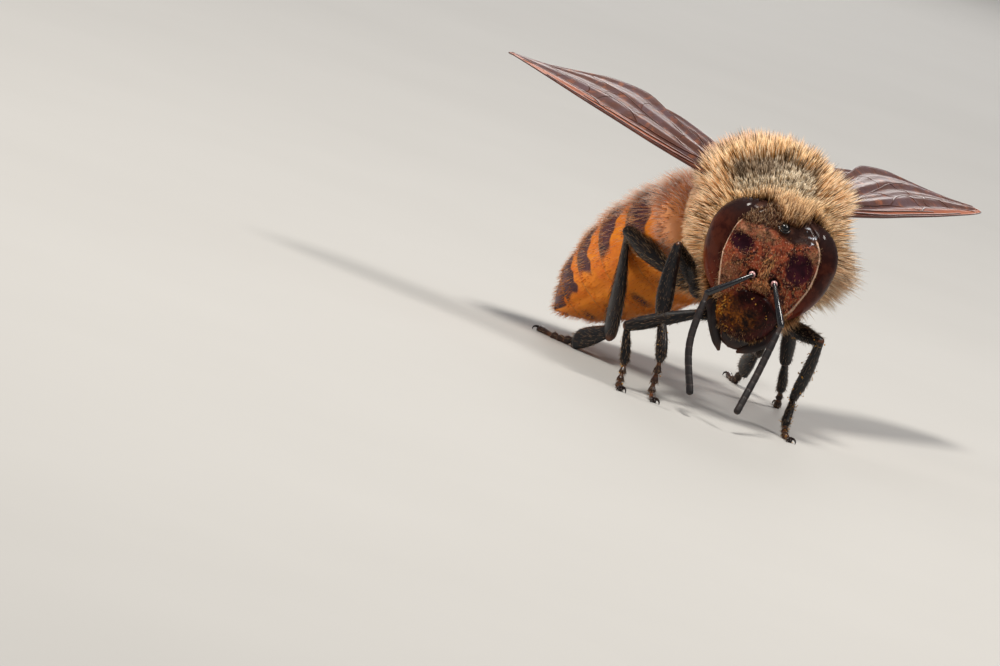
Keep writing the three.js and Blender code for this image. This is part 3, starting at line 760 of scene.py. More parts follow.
def coat_finish(name, root, middle, tip, zones, depth=0.5, tips=None):
    """Fur that is dark at its root and pale at its tip, with other colours in each painted zone. The dark
    roots and dark locks are partly the hair's own colour and partly painted shade deep in the coat and
    between the locks, and the pale tips partly a painted glow where light shines through them.
    """
    finish = Finish(name)
    along, tone = finish.painted("along"), finish.painted("tone")
    shaft = finish.blend(finish.noise(1.3, detail=2).step(0.4, 0.7) * 0.35, middle, tip)
    shaft = finish.layers(shaft, *((finish.painted(zone), shade) for zone, shade in zones.items()))
    tip = finish.layers(tip, *((finish.painted(zone), shade) for zone, shade in (tips or {}).items()))
    # Dark locks and dark roots are partly painted shade between the locks and deep in the coat.
    shaft = finish.blend(tone.step(0.52, 0.24) * 0.9, shaft, root)
    colour = finish.blend(along.step(0, depth), root, shaft)
    # Pale tips, strongest on the palest locks, are partly a painted glow of light through them.
    colour = finish.blend(along.step(0.4, 0.95) * tone.step(0.28, 0.78), colour, tip)
    normal = finish.relief(finish.noise(60, detail=1), 0.002)
    return finish.shade(colour, 0.5 - tone * 0.16, normal, shine=0.25)


# ---------- the head ----------
HEAD_AXES = facing(**HEAD_TURN)


def on_head(places):
    return np.asarray(HEAD_CENTRE) + np.asarray(places, float) @ HEAD_AXES


def signed_power(values, power):
    return np.sign(values) * np.abs(values) ** power


def head_side(heights, angles):
    """Points on the head in its own axes, at the given heights and angles round it."""
    half, face, nape = (look_up(HEAD_LEVELS, heights, column) for column in (1, 2, 3))
    reach = np.where(np.sin(angles) > 0, face, nape)
    x = half * signed_power(np.cos(angles), HEAD_POWER)
    y = reach * signed_power(np.sin(angles), HEAD_POWER)
    return np.stack([x, y, heights + 0 * x], axis=-1)


def face_marks(x, z, front):
    """The masks and the relief of the face, as functions of places on it."""
    inside = np.abs(x) - look_up(EYE_MARGIN, z)
    rim_top = np.where(x < 0, 1.15, 1.42)
    rim_width = np.where(x > 0, 0.06, 0.034)
    distance = np.hypot(np.abs(x) - SOCKET[0], z - SOCKET[2])
    waist = 0.93 - 0.16 * soft_step(z, -1.1, -0.6)
    clypeus = ((np.abs(x) / waist) ** 2.4 + (np.abs(z + 1.28) / 0.74) ** 2.4) ** (1 / 2.4)
    crown_edge = z + 0.06 * np.sin(5 * x + 0.6) + 0.1 * hill((x - 0.5) / 0.3)
    marks = {
        # The rim is a painted highlight along the raised inner edge of each eye, wider on the bee's left.
        "rim": hill((inside + 0.05) / rim_width) * soft_step(z, -1.1, -0.9)
        * soft_step(z, rim_top + 0.08, rim_top - 0.08),
        "hollow": hill((x + 0.95) / 0.34, (z - 0.6) / 0.23) + hill((x - 0.85) / 0.38, (z - 0.5) / 0.42),
        "clypeus": soft_step(clypeus, 1.04, 0.95),
        "ridge": hill((x + 0.05) / 0.08) * soft_step(z, -0.2, 0.1) * soft_step(z, 1.0, 0.6),
        "brow": hill(x / 0.22, (z + 0.3) / 0.1),
        "socket": hill(distance / 0.19),
        "crown": soft_step(crown_edge, 1.12, 1.26),
        "tan": hill((np.abs(x) - 1.06) / 0.17, (z - 0.97) / 0.19)
        + 0.9 * hill((x + 0.45) / 0.32, (z - 1.0) / 0.17) + 0.5 * hill((x + 1.0) / 0.3, (z + 0.4) / 0.4),
        "honey": 0.7 * hill((x + 0.12) / 0.36, (z + 1.4) / 0.26) + hill((x + 0.7) / 0.22, (z + 1.3) / 0.42),
        "glint": hill((np.abs(x) - 0.68) / 0.24, (z - 1.44) / 0.13),
        # Pale blue-white spots beside the left eye are painted glints of light on the bumpy shell.
        "specks": hill((x - 0.92) / 0.2, (z - 1.36) / 0.14) + hill((x - 0.72) / 0.16, (z - 1.6) / 0.07),
    }
    marks = {name: values * front for name, values in marks.items()}
    relief = (
        -0.08 * marks["hollow"] + 0.05 * marks["ridge"] + 0.1 * marks["brow"] - 0.16 * marks["socket"]
        + 0.035 * front * hill((distance - 0.21) / 0.05)
        + front * 0.12 * np.sqrt(np.clip(1 - clypeus**2, 0, 1))
        - 0.05 * front * hill((clypeus - 1) / 0.07)
        - 0.03 * hill((inside + 0.01) / 0.04) * front
        + 0.03 * hill(x / 0.5, (z - 1.45) / 0.3) * front
        - 0.05 * hill((np.abs(x) - 0.55) / 0.2, (z - 1.3) / 0.14) * front
    )
    return marks, relief


def head_surface(rows=210, columns=330):
    """The head with its relief in its own axes, and its marks. More of its columns lie on the face."""
    heights = np.interp(np.linspace(0, 1, rows), [0, 0.04, 0.96, 1], [-2.17, -2.08, 1.84, 1.95])
    front_columns = int(columns * 0.68)
    angles = np.concatenate([
        np.linspace(0, math.pi, front_columns, endpoint=False),
        np.linspace(math.pi, math.tau, columns - front_columns, endpoint=False),
    ])
    z, angle = np.meshgrid(heights, angles, indexing="ij")
    bare = head_side(z, angle)
    x = bare[..., 0]
    normals = Surface(closed_columns(bare)).normals[:, :-1]
    front = soft_step(np.sin(angle), 0.0, 0.25)
    marks, relief = face_marks(x, z, front)
    ripple = np.sin(x * 9 + 2 * np.sin(z * 7)) * np.sin(z * 11 + x * 4)
    return bare + normals * (relief + 0.006 * ripple * front)[..., None], marks


def round_head():
    """A coarser head to scatter things on: its surface, its marks, and where its points are."""
    points, marks = head_surface(90, 150)
    points = closed_columns(points)
    marks = {name: closed_columns(values) for name, values in marks.items()}
    return Surface(points), marks, *np.moveaxis(points, -1, 0)


def shell_finish():
    shades = colours()
    finish = Finish("head_shell")
    names = ("rim", "hollow", "clypeus", "brow", "socket", "crown", "tan", "honey", "glint")
    rim, hollow, clypeus, brow, socket, crown, tan, honey, glint = map(finish.painted, names)
    mottle = finish.noise(3.2, detail=5, roughness=0.65, distortion=0.4)
    fleck = finish.noise(13, detail=3, roughness=0.6)
    dim = finish.noise(1.5, detail=2).step(0.46, 0.34)
    rusty = fleck.step(0.58, 0.7) * finish.noise(4.1, detail=2).step(0.46, 0.58)
    # Pale pink flecks are painted glints of light on the short hairs of the face.
    pale = finish.noise(24, detail=2).step(0.6, 0.7)
    # Painted glints: pale blue-white spots where light would glint off the bumpy shell beside the left eye.
    specks = finish.painted("specks").step(0.2, 0.6)
    specks = finish.noise(7, detail=2).step(0.53, 0.61) * specks
    honey = honey * fleck.step(0.3, 0.75) * mottle.step(0.36, 0.56)
    # Violet for the hollows of the face: partly the shell's own colour, partly painted shade in the hollows.
    violet = finish.blend(mottle.step(0.4, 0.7), (0.016, 0.003, 0.007), (0.05, 0.008, 0.014))
    dark = finish.blend(mottle.step(0.45, 0.7), (0.022, 0.008, 0.006), (0.075, 0.028, 0.016))
    dome = finish.blend(mottle.step(0.4, 0.7), (0.009, 0.002, 0.002), (0.05, 0.007, 0.007))
    colour = finish.layers(
        finish.blend(mottle.step(0.43, 0.57), (0.028, 0.007, 0.007), shades.face),
        (dim * 0.6, (0.03, 0.008, 0.008)),
        (fleck.step(0.52, 0.7) * 0.6, (0.4, 0.14, 0.07)),
        (rusty * 0.9, (0.6, 0.13, 0.02)),
        # Painted glints of the face's short hairs.
        (pale * 0.75, (0.72, 0.36, 0.25)),
        (tan * mottle.step(0.3, 0.55) * (0.3 + fleck), (0.5, 0.24, 0.14)),
        # Partly painted shade in the hollows.
        ((hollow * 1.8 + (fleck - 0.5) * 0.5).step(0.3, 0.8), violet),
        (crown, dark),
        (clypeus, finish.blend(honey, dome, (0.48, 0.15, 0.012))),
        (brow * 0.9, (0.75, 0.26, 0.1)),
        (socket.step(0.2, 0.7), shades.shell),
        # Painted highlight along the inner edge of the eyes.
        (rim.step(0.3, 0.7) * (0.45 + fleck * 0.9), shades.rim),
        (specks, (0.62, 0.66, 0.74)),
    )
    normal = finish.relief(finish.cells(26).step(0.1, 0.4), 0.006, 0.5)
    normal = finish.relief(finish.noise(9, detail=4), 0.022, 0.7, over=normal)
    normal = finish.relief(finish.noise(6.5, detail=2) * glint, 0.2, 1, over=normal)
    rough = 0.5 + mottle * 0.2 - clypeus * 0.15 - crown * 0.16 - glint * 0.2
    gloss = 0.02 + clypeus * 0.05 + glint
    return finish.shade(colour, rough, normal, gloss=gloss, gloss_rough=0.1, shine=0.06)


def eye_surface(side, rows=90, columns=64):
    """One compound eye: the side of the head, swollen, outside its inner margin, and its paint."""
    place = np.linspace(0, 1, rows)
    heights = EYE_BOTTOM + place * EYE_RISE
    half, _, nape = (look_up(HEAD_LEVELS, heights, column) for column in (1, 2, 3))
    margin = np.minimum(look_up(EYE_MARGIN, heights) / half, 0.995)
    front = np.arccos(np.clip(margin, 0, 1) ** (1 / HEAD_POWER))
    back = -np.arcsin(np.clip(0.58 / (nape + 0.07), 0, 0.9) ** (1 / HEAD_POWER))
    middle = (front + back) / 2
    ends = np.clip(1 - np.abs(2 * place - 1) ** 5, 0, 1) ** 0.5
    across = np.linspace(-1, 1, columns)
    angles = middle[:, None] + (front - back)[:, None] / 2 * ends[:, None] * across
    z = np.repeat(heights[:, None], columns, axis=1)
    round_profile = np.clip(1 - across**4, 0, 1)[None] * ends[:, None] ** 1.5
    points = head_side(z, angles)
    normals = unit(points / np.array([1.8**2, 1.0, 1.8**2]) + 1e-9)
    points = points + normals * (0.105 * round_profile**0.7 - 0.03)[..., None]
    points[..., 0] *= side
    paint = {
        "run": heights[:, None] * np.ones(columns),
        "across": across[None] * (front - back)[:, None] * half[:, None] / 2,
        "low": soft_step(z, 0.7, -1.1),
        # Orange at the lower outer edge of the eye is a painted reflection of warm light.
        "outer": soft_step(-across, -0.45, 0.2)[None] * soft_step(z, 1.2, -0.2),
    }
    return points, paint


def eye_finish():
    shades = colours()
    finish = Finish("eye")
    run, across, low, outer = (finish.painted(each) for each in ("run", "across", "low", "outer"))
    turns = math.tau / (sizes().facet_width / METRES * math.sqrt(3) / 2)
    aslant, halfway = across * (turns * math.sqrt(3) / 2), run * (-turns / 2)
    facets = (run * turns).cosine() + (halfway + aslant).cosine() + (halfway - aslant).cosine()
    cloud = finish.noise(2.6, detail=5, roughness=0.65)
    colour = finish.layers(
        finish.blend(cloud.step(0.4, 0.62), shades.eye, (0.062, 0.015, 0.008)),
        (low.step(0.1, 1) * (0.35 + cloud * 0.8), shades.eye_low),
        (run.step(0.7, 1.5) * 0.8, (0.014, 0.008, 0.008)),
        # Painted reflection of warm light at the lower outer edge.
        (outer * (0.1 + low.step(0.1, 0.6) * 0.75), (0.24, 0.055, 0.01)),
    )
    normal = finish.relief(facets, 0.0011, 0.5)
    return finish.shade(colour, 0.3 + cloud * 0.12, normal, gloss=0.2, gloss_rough=0.05, shine=0.02)


def glossy_shell(name, dark, warm, pits, rough, gloss, joint=(0.22, 0.09, 0.035)):
    """Dark shell with warmer joints where joint is painted, fine pits and a broken gloss."""
    finish = Finish(name)
    cloud = finish.noise(2.6, detail=5, roughness=0.6)
    grain = finish.noise(24, detail=2)
    colour = finish.layers(
        dark, (cloud.step(0.42, 0.72) * 0.7, warm), (grain.step(0.55, 0.8) * 0.12, joint),
        (finish.painted("joint").step(0.1, 0.9), joint),
    )
    normal = finish.relief(finish.cells(pits).step(0.05, 0.45), 0.004, 0.6)
    normal = finish.relief(finish.noise(11, detail=3), 0.012, 0.5, over=normal)
    return finish.shade(colour, rough + grain * 0.18, normal, gloss=gloss, gloss_rough=0.12, shine=0.2)


def ball(centre, radii, axes=None, rows=14, columns=20):
    """A rounded body with its poles along the third axis."""
    axes = np.eye(3) if axes is None else axes
    polar = np.linspace(0.06, math.pi - 0.06, rows)[:, None]
    around = full_turn(columns)[None]
    local = [np.sin(polar) * np.cos(around), np.sin(polar) * np.sin(around), np.cos(polar) + 0 * around]
    return np.asarray(centre) + (np.stack(local, axis=-1) * np.asarray(radii)) @ axes


def ocellus_collar(place, outward, third):
    """A thin ring of shell round an ocellus."""
    circle = np.array([
        on_head(np.array(place) + 0.17 * (math.cos(turn) * third + math.sin(turn) * np.cross(third, outward)))
        for turn in full_turn(24)
    ])
    centre, out = circle.mean(axis=0), outward @ HEAD_AXES
    return np.array([
        centre + (circle - centre) * (1 + 0.2 * math.cos(turn)) + out * (0.03 * math.sin(turn) - 0.02)
        for turn in full_turn(8)
    ])


class BEE_OT_head(Operator):
    """Models the head capsule with its face, clypeus, sockets and eye rims"""

    bl_idname = "bee.head"
    bl_label = "Head"

    def execute(self, context):
        points, marks = head_surface()
        shape = Shape()
        shape.add_grid(on_head(points), **marks)
        shape.piece("head_capsule", shell_finish(), "head_shell", "head")
        return {"FINISHED"}


class BEE_OT_eyes(Operator):
    """Models the two compound eyes and the three ocelli"""

    bl_idname = "bee.eyes"
    bl_label = "Eyes and ocelli"

    def execute(self, context):
        finish = eye_finish()
        for side_name, side in SIDES.items():
            points, paint = eye_surface(side)
            shape = Shape()
            points = points - unit(points * [1, 0.4, 1]) * EYE_THICKNESS / 2
            shape.add_sheet(on_head(points), EYE_THICKNESS, **paint)
            shape.piece(f"compound_eye_{side_name}", finish, "eye", f"eye_{side_name}")
        glass = glossy_shell(
            "ocellus_glass", dark=(0.002, 0.002, 0.002), warm=(0.005, 0.003, 0.003), pits=60, rough=0.08,
            gloss=0.6, joint=(0.03, 0.012, 0.008),
        )
        for name, place in OCELLI.items():
            outward = unit(np.array(place) * [0.5, 1, 0.6])
            third = unit(np.cross(outward, [1, 0, 0.1]))
            axes = np.array([np.cross(third, outward), third, outward]) @ HEAD_AXES
            collar = ocellus_collar(place, outward, third)
            shape = Shape()
            shape.add_grid(ball(on_head(place), [0.15, 0.15, 0.11], axes))
            shape.add(collar, grid_faces(*collar.shape[:2], wrap_rows=True, wrap_columns=True), joint=0.25)
            shape.piece(f"ocellus_dome_{name}", glass, "ocellus", f"ocellus_{name}")
        return {"FINISHED"}


class BEE_OT_antennae(Operator):
    """Models the antennae: socket knobs, scapes, pedicels and ringed flagella"""

    bl_idname = "bee.antennae"
    bl_label = "Antennae"

    def execute(self, context):
        radius = sizes().antenna_radius / METRES
        scape_shell = glossy_shell(
            "scape_shell", dark=(0.005, 0.006, 0.009), warm=(0.01, 0.009, 0.01), pits=60, rough=0.16, gloss=1,
            joint=(0.55, 0.3, 0.3),
        )
        matt_shell = glossy_shell(
            "flagellum_shell", dark=(0.012, 0.01, 0.011), warm=(0.03, 0.021, 0.019), pits=90, rough=0.42,
            gloss=0.14, joint=(0.055, 0.034, 0.028),
        )
        forward = HEAD_AXES[1]
        for side_name, side in SIDES.items():
            socket = on_head([side * SOCKET[0], SOCKET[1], SOCKET[2]])
            start = socket + forward * 0.16
            elbow, bend, tip = (np.array(each) for each in ANTENNAE[side_name])
            knob = ball(socket + forward * 0.05, [0.1, 0.1, 0.1], rows=16, columns=24)
            neck = tube([start - forward * 0.04, start + (elbow - start) * 0.04], [0.045, 0.06], 16, 6)
            stem = [start, start + (elbow - start) * 0.45 + forward * 0.05, elbow]
            stem = tube(stem, [0.06, 0.072, 0.08, 0.088, 0.1, 0.096], 20, 40)
            bodies = [(knob, 1), (neck, 0.7), (stem, 0)]
            write_joined(f"scape_stem_{side_name}", scape_shell, "scape", f"scape_{side_name}", bodies)

            line = smooth_path([elbow, bend, tip], FLAGELLUM_STEPS)
            place = np.linspace(0, 1, FLAGELLUM_STEPS)
            ringed = np.abs(((place - PEDICEL_END) / (1 - PEDICEL_END) * FLAGELLUM_RINGS) % 1 - 0.5) * 2
            girth = radius * (0.93 + 0.07 * (1 - ringed**6)) * np.where(place < PEDICEL_END, 0.85, 1)
            girth = girth * (0.78 + 0.22 * soft_step(place, 0.0, 0.25))
            dome = np.sqrt(np.clip(1 - ((place - 0.97) / 0.032) ** 2, 0.02, 1))
            girth = girth * np.where(place > 0.97, dome, 1)
            _, wide, thin = carried_axes(line)
            rings = rings_round(line, wide, thin, girth, 20)
            groove = np.where(place < 0.08, 0.5, soft_step(ringed, 0.85, 1) * 0.8)
            node, bodies = f"flagellum_{side_name}", [(rings, groove[:, None])]
            write_joined(f"flagellum_rings_{side_name}", matt_shell, "flagellum", node, bodies)
        return {"FINISHED"}


class BEE_OT_mouthparts(Operator):
    """Models the mandibles, the labrum and the folded proboscis"""

    bl_idname = "bee.mouthparts"
    bl_label = "Mouthparts"

    def execute(self, context):
        finish = glossy_shell(
            "mouth_shell", dark=(0.009, 0.004, 0.004), warm=(0.035, 0.01, 0.006), pits=34, rough=0.26,
            gloss=0.3, joint=(0.12, 0.04, 0.015),
        )
        for side_name in SIDES:
            path, wide = on_head(MANDIBLES[side_name]), HEAD_AXES[0] + HEAD_AXES[2] * 0.4
            blade = tube(path, [0.24, 0.24, 0.18, 0.15, 0.13, 0.05], 26, 40, 0.5, wide)
            worn = np.clip(np.linspace(-0.6, 1.1, blade.shape[0]), 0, 1)[:, None] ** 2
            bodies = [(blade, worn * 0.5)]
            write_joined(f"mandible_blade_{side_name}", finish, "mouthparts", f"mandible_{side_name}", bodies)

        x, z = np.meshgrid(np.linspace(-1, 1, 36), np.linspace(0, 1, 18))
        plate = [x * (0.42 - 0.1 * z), 0.74 - 0.1 * x**2 - 0.12 * z**2, -1.96 - 0.34 * z * (1 - 0.25 * x**2)]
        shape = Shape()
        shape.add_sheet(on_head(np.stack(plate, axis=-1)), 0.07, joint=0.35 * z)
        shape.piece("labrum_plate", finish, "mouthparts", "labrum")

        bodies = []
        for side in SIDES.values():
            sheath = [[side * 0.16, 0.1, -2.08], [side * 0.14, -0.32, -2.24], [side * 0.12, -0.66, -1.74]]
            sheath = tube(on_head(sheath), [0.13, 0.16, 0.14, 0.07], 18, 30, 0.5, HEAD_AXES[0])
            bodies.append((sheath, 0.35))
        tongue = on_head([[0, 0.16, -2.12], [0, -0.34, -2.3], [0, -0.7, -1.7]])
        tongue = tube(tongue, [0.09, 0.1, 0.08, 0.05], 16, 120)
        ringed = 1 + 0.08 * np.cos(np.arange(tongue.shape[0]) * 1.6)
        middle = tongue.mean(axis=1, keepdims=True)
        bodies.append((middle + (tongue - middle) * ringed[:, None, None], 0.8))
        write_joined("proboscis_folded", finish, "mouthparts", "proboscis", bodies)
        return {"FINISHED"}


# ---------- the thorax ----------
def thorax_surface(rows=110, columns=190):
    """Bare shell of the thorax over the whole sphere of directions, with its plates and grooves."""
    polar, around = np.meshgrid(
        np.linspace(0.02, math.pi - 0.02, rows), np.linspace(0, math.tau, columns + 1), indexing="ij",
    )
    way = np.stack([np.sin(polar) * np.sin(around), -np.sin(polar) * np.cos(around), np.cos(polar)], axis=-1)
    x, y, z = np.moveaxis(way, -1, 0)
    relief = (
        0.1 * hill((y - 0.62) / 0.2, x / 0.45) * soft_step(z, 0.3, 0.7)
        - 0.07 * hill((y - 0.4) / 0.05) * soft_step(z, 0.5, 0.8)
        - 0.03 * hill(x / 0.03) * soft_step(z, 0.4, 0.6) * soft_step(y, 0.35, 0.2)
        - 0.025 * hill((np.abs(x) - 0.32) / 0.03) * soft_step(z, 0.4, 0.6) * soft_step(y, 0.35, 0.2)
        - 0.06 * hill((z + 0.1 + 0.2 * y) / 0.06) * soft_step(np.abs(x), 0.4, 0.8)
        - 0.06 * hill((y + 0.25 - 0.2 * z) / 0.06) * soft_step(z, 0.3, -0.1)
        - 0.05 * hill((y - 0.45) / 0.06) * soft_step(z, 0.3, -0.1)
        - 0.1 * soft_step(z, -0.6, -1)
    )
    return way * (THORAX_SHELL + relief[..., None]), way


class BEE_OT_thorax(Operator):
    """Models the shell of the thorax under the fur, with the neck, the waist and the wing bases"""

    bl_idname = "bee.thorax"
    bl_label = "Thorax"

    def execute(self, context):
        finish = glossy_shell(
            "thorax_shell", dark=colours().shell, warm=(0.05, 0.025, 0.018), pits=22, rough=0.34, gloss=0.3,
        )
        points, _ = thorax_surface()
        neck = tube([[-0.08, -1.6, -0.5], [-0.3, -2.1, -0.75]], [0.62, 0.5, 0.5], 28, 12)
        waist = tube([[0, 1.75, -0.2], [0, 2.1, -0.3], [0, 2.5, -0.5]], [0.8, 0.42, 0.36, 0.6], 28, 16)
        bodies = [(points[:, :-1], 0), (neck, 0.3), (waist, 0.15)]
        for side in SIDES.values():
            root = np.array(WING_ROOT) * [side, 1, 1]
            base = ball(root + [-0.02 * side, -0.06, 0.05], [0.22, 0.32, 0.16], rows=18, columns=26)
            strut = [root + [-0.3 * side, 0.3, -0.2], root + [0.04 * side, 0.22, -0.1]]
            bodies += [(base, 0.5), (tube(strut, [0.2, 0.14], 18, 8), 0.4)]
        write_joined("thorax_plates", finish, "thorax_coat", "thorax", bodies)
        return {"FINISHED"}


def fur_zones(way):
    """How far each direction from the middle of the thorax belongs to each zone of the coat."""
    side, forward, up = (way @ facing(**FUR_TURN).T).T
    rise = np.degrees(np.arctan2(up, forward))
    silver = soft_step(forward, -0.1, 0.15) * soft_step(rise, 23, 33) * soft_step(rise, 72, 66)
    silver = silver * soft_step(np.abs(side + 0.03 * np.sin(rise / 6)), 0.6, 0.46)
    flank = soft_step(np.abs(way[:, 0]), 0.42, 0.62) * soft_step(way[:, 2], 0.5, 0.25)
    flank = flank * soft_step(forward, 0.58, 0.4)
    beside = soft_step(np.hypot(side, np.minimum(up, 0)), 0.45, 0.75)
    return {
        # Painted shadow: dark hair along the upper edge of the silver patch, where the long fur behind it
        # shades it.
        "dusk": silver * soft_step(rise - 14 * soft_step(side, -0.1, 0.25), 46, 56),
        "streak": silver * hill(side / 0.022),
        "silver": silver,
        "ruff": beside * soft_step(forward, -0.25, 0.2) * (1 - flank),
        "flank": flank,
        "crest": soft_step(forward, 0.25, -0.1) * soft_step(up, 0.2, 0.5),
        "belly": soft_step(way[:, 2], -0.4, -0.75),
        "front": soft_step(forward, -0.15, 0.45),
    }


def coat_density(points, way):
    """How thickly the coat grows at each point of the shell."""
    zones = fur_zones(way.reshape(-1, 3))
    zones = {name: values.reshape(points.shape[:2]) for name, values in zones.items()}
    low = soft_step(points @ facing(**FUR_TURN)[2], 0, -0.8) * soft_step(points[..., 0], 0.2, 0.8)
    density = (1 - 0.3 * zones["silver"]) * (1 - 0.4 * zones["belly"]) * (1 + 0.25 * zones["front"])
    density = density * (1 - soft_step(way[..., 1], 0.93, 0.97))
    return density * (1 + zones["ruff"] * (1.4 * low - 0.42))


def thorax_fur_finish():
    shades = colours()
    shafts = {
        "ruff": shades.fur_ruff, "flank": shades.fur_flank, "silver": shades.fur_silver,
        # The dark shaft and tip colours along the top of the silver patch are painted shadow.
        "dusk": (0.26, 0.17, 0.1), "streak": (0.85, 0.72, 0.55), "crest": (0.68, 0.4, 0.22),
        # under: painted warm light from below on the low ruff.
        "under": (1.0, 0.6, 0.32),
    }
    tips = {
        "crest": (0.88, 0.58, 0.42), "ruff": (1.0, 0.82, 0.6), "silver": (1.0, 0.88, 0.68),
        "dusk": (0.44, 0.33, 0.22), "under": (1.0, 0.84, 0.64),
    }
    return coat_finish("thorax_fur", shades.fur_root, shades.fur_gold, shades.fur_tip, shafts, tips=tips)


class BEE_OT_thorax_fur(Operator):
    """Grows the long fur of the thorax, with its ruff, its smooth flanks and its short silver patch"""

    bl_idname = "bee.thorax_fur"
    bl_label = "Thorax fur"

    def execute(self, context):
        rng = np.random.default_rng(11)
        points, way = thorax_surface()
        surface = Surface(points)
        count = sizes().thorax_hairs
        root, normal, flat = surface.scatter(count, coat_density(points, way), rng)

        zones = fur_zones(unit(root / THORAX_SHELL))
        _, ahead, upward = facing(**FUR_TURN)
        silver, flank, front, belly = (zones[name][:, None] for name in ("silver", "flank", "front", "belly"))
        crown = root + upward * 0.5
        outward = unit(crown - ahead * (crown @ ahead)[:, None])
        lean = front * (outward * 1.2 - normal * 0.5) + (1 - front) * np.array([0, 0.3, 0])
        lean = lean * (1 - silver) + silver * (outward * 0.5)
        lean = lean * (1 - flank) + flank * [0, 1.5, -0.5] + belly * [0, 0.4, 0]
        way = unit(normal + lean + rng.normal(0, 0.07, (count, 3)))

        height = root @ upward
        low_ruff = zones["ruff"] * soft_step(height, 0, -0.8)
        low_front = zones["front"] * soft_step(height, 1.2, 0.7) * (1 - zones["ruff"])
        length = 0.98 * (1 - 0.6 * zones["silver"]) * (1 - 0.5 * zones["flank"]) * (1 - 0.48 * zones["belly"])
        length = length * (1 - 0.15 * low_front + 0.25 * low_ruff) * rng.uniform(0.7, 1.08, count)
        length = length * (1 + (0.14 * zones["ruff"] + 0.2 * low_ruff) * soft_step(root[:, 0], 0.6, 1.4))
        bend = rng.normal(0, 0.05, (count, 3)) + (1 - silver) * [0, 0.03, -0.05]
        radius = sizes().hair_radius / METRES * rng.uniform(0.7, 1.2, count) * (1 + 0.25 * zones["ruff"])
        tone = 0.3 * zones["silver"] + 0.35 * zones["flank"] + 0.5 * low_ruff
        tone = np.maximum(rng.random(count), tone)
        paint = {name: zones[name] for name in ("ruff", "flank", "silver", "dusk", "streak", "crest")}
        # The under zone paints warm light from below onto the low ruff on the bee's left.
        paint["under"] = low_ruff * soft_step(root[:, 0], 0.2, 0.8)
        hairs = Hairs()
        hairs.add(root - normal * 0.02, way, bend, length, radius, flat, tone=tone, **paint)
        hairs.gather(size=0.11, pull=0.5, rng=rng)
        hairs.pieces("thorax_fur", thorax_fur_finish(), "thorax_coat", ("thorax",), rings=3)
        return {"FINISHED"}


# ---------- the abdomen ----------
def abdomen_axes(place):
    swing, hang = (np.interp(place, [0, 1], pair) for pair in (ABDOMEN_SWING, ABDOMEN_HANG))
    return facing(-swing, -hang, 0)


def abdomen_frames(places):
    """Centre and axes of the abdomen at each place from 0 at the waist to 1 at the tip."""
    steps = ABDOMEN_STEPS
    walk = [np.array(ABDOMEN_START, float)]
    for step in range(steps):
        ahead = abdomen_axes((step + 0.5) / steps)[1]
        walk.append(walk[-1] - ahead * ABDOMEN_LENGTH / steps)
    walk = np.array(walk)
    knots = np.linspace(0, 1, steps + 1)
    centres = np.column_stack([np.interp(places, knots, walk[:, axis]) for axis in range(3)])
    return centres, np.array([abdomen_axes(place) for place in places])


def abdomen_ring(places, extra, columns=120):
    """Rows round the abdomen at the given places, with extra added to the bare shell's girth."""
    centres, axes = abdomen_frames(places)
    angles = full_turn(columns)
    half = look_up(ABDOMEN_GIRTH, places)
    half = half - np.minimum(0.1, half * 0.3) + extra
    side, up = np.cos(angles), np.sin(angles)
    seam = -0.035 * hill((np.abs(side) - 0.86) / 0.05) * (up < 0)
    wide = ((half[:, None] + seam) * side)[..., None]
    high = ((half[:, None] + seam) * up * ABDOMEN_HEIGHT * np.where(up < 0, BELLY_BULGE, 1))[..., None]
    return centres[:, None] + wide * axes[:, None, 0] + high * axes[:, None, 2], angles


def plate_rows(index, rows=34):
    """Places along one plate, their shares of its length, and how far the plate stands out there."""
    start, end = PLATE_EDGES[index], PLATE_EDGES[index + 1]
    tuck = 0.025 if index else 0
    places = np.linspace(start - tuck, end, rows)
    share = (places - start) / (end - start)
    swell = np.sin(np.clip(share, 0, 1) * math.pi)
    if index == LAST_PLATE:
        return places, share, -0.03 + 0.02 * swell
    return places, share, -0.045 + 0.075 * soft_step(share, 0, 0.9) + 0.03 * swell


def belly_share(up):
    return soft_step(up, -0.35, -0.55)


def band_paint(index, share, angles):
    """How dark a plate is at each place: a wavy band at the rear and a spot on the back."""
    up, side = np.sin(angles)[None], np.cos(angles)[None]
    share = share[:, None]
    start, reach = BAND_START[index], BAND_REACH[index]
    wave = 0.07 * np.sin(angles * 5 + index)[None] + 0.04 * np.sin(angles * 17 + 2 * index)[None]
    band = soft_step(share + wave + 0.16 * (up - 0.6), start - 0.06, start + 0.08)
    band = band * soft_step(up + 0.15 * np.sin(index * 2.1 + 4 * share), reach, reach + 0.4)
    belly = belly_share(up)
    spot = hill((share - 0.35) / 0.3, side / 0.22) * (up > 0) * BACK_SPOT[index]
    belly_spot = hill((share - 0.7) / 0.2, (np.abs(side) - 0.45) / 0.25)
    return np.clip(np.maximum(band * (1 - belly) + belly * belly_spot * 0.8, spot), 0, 1)


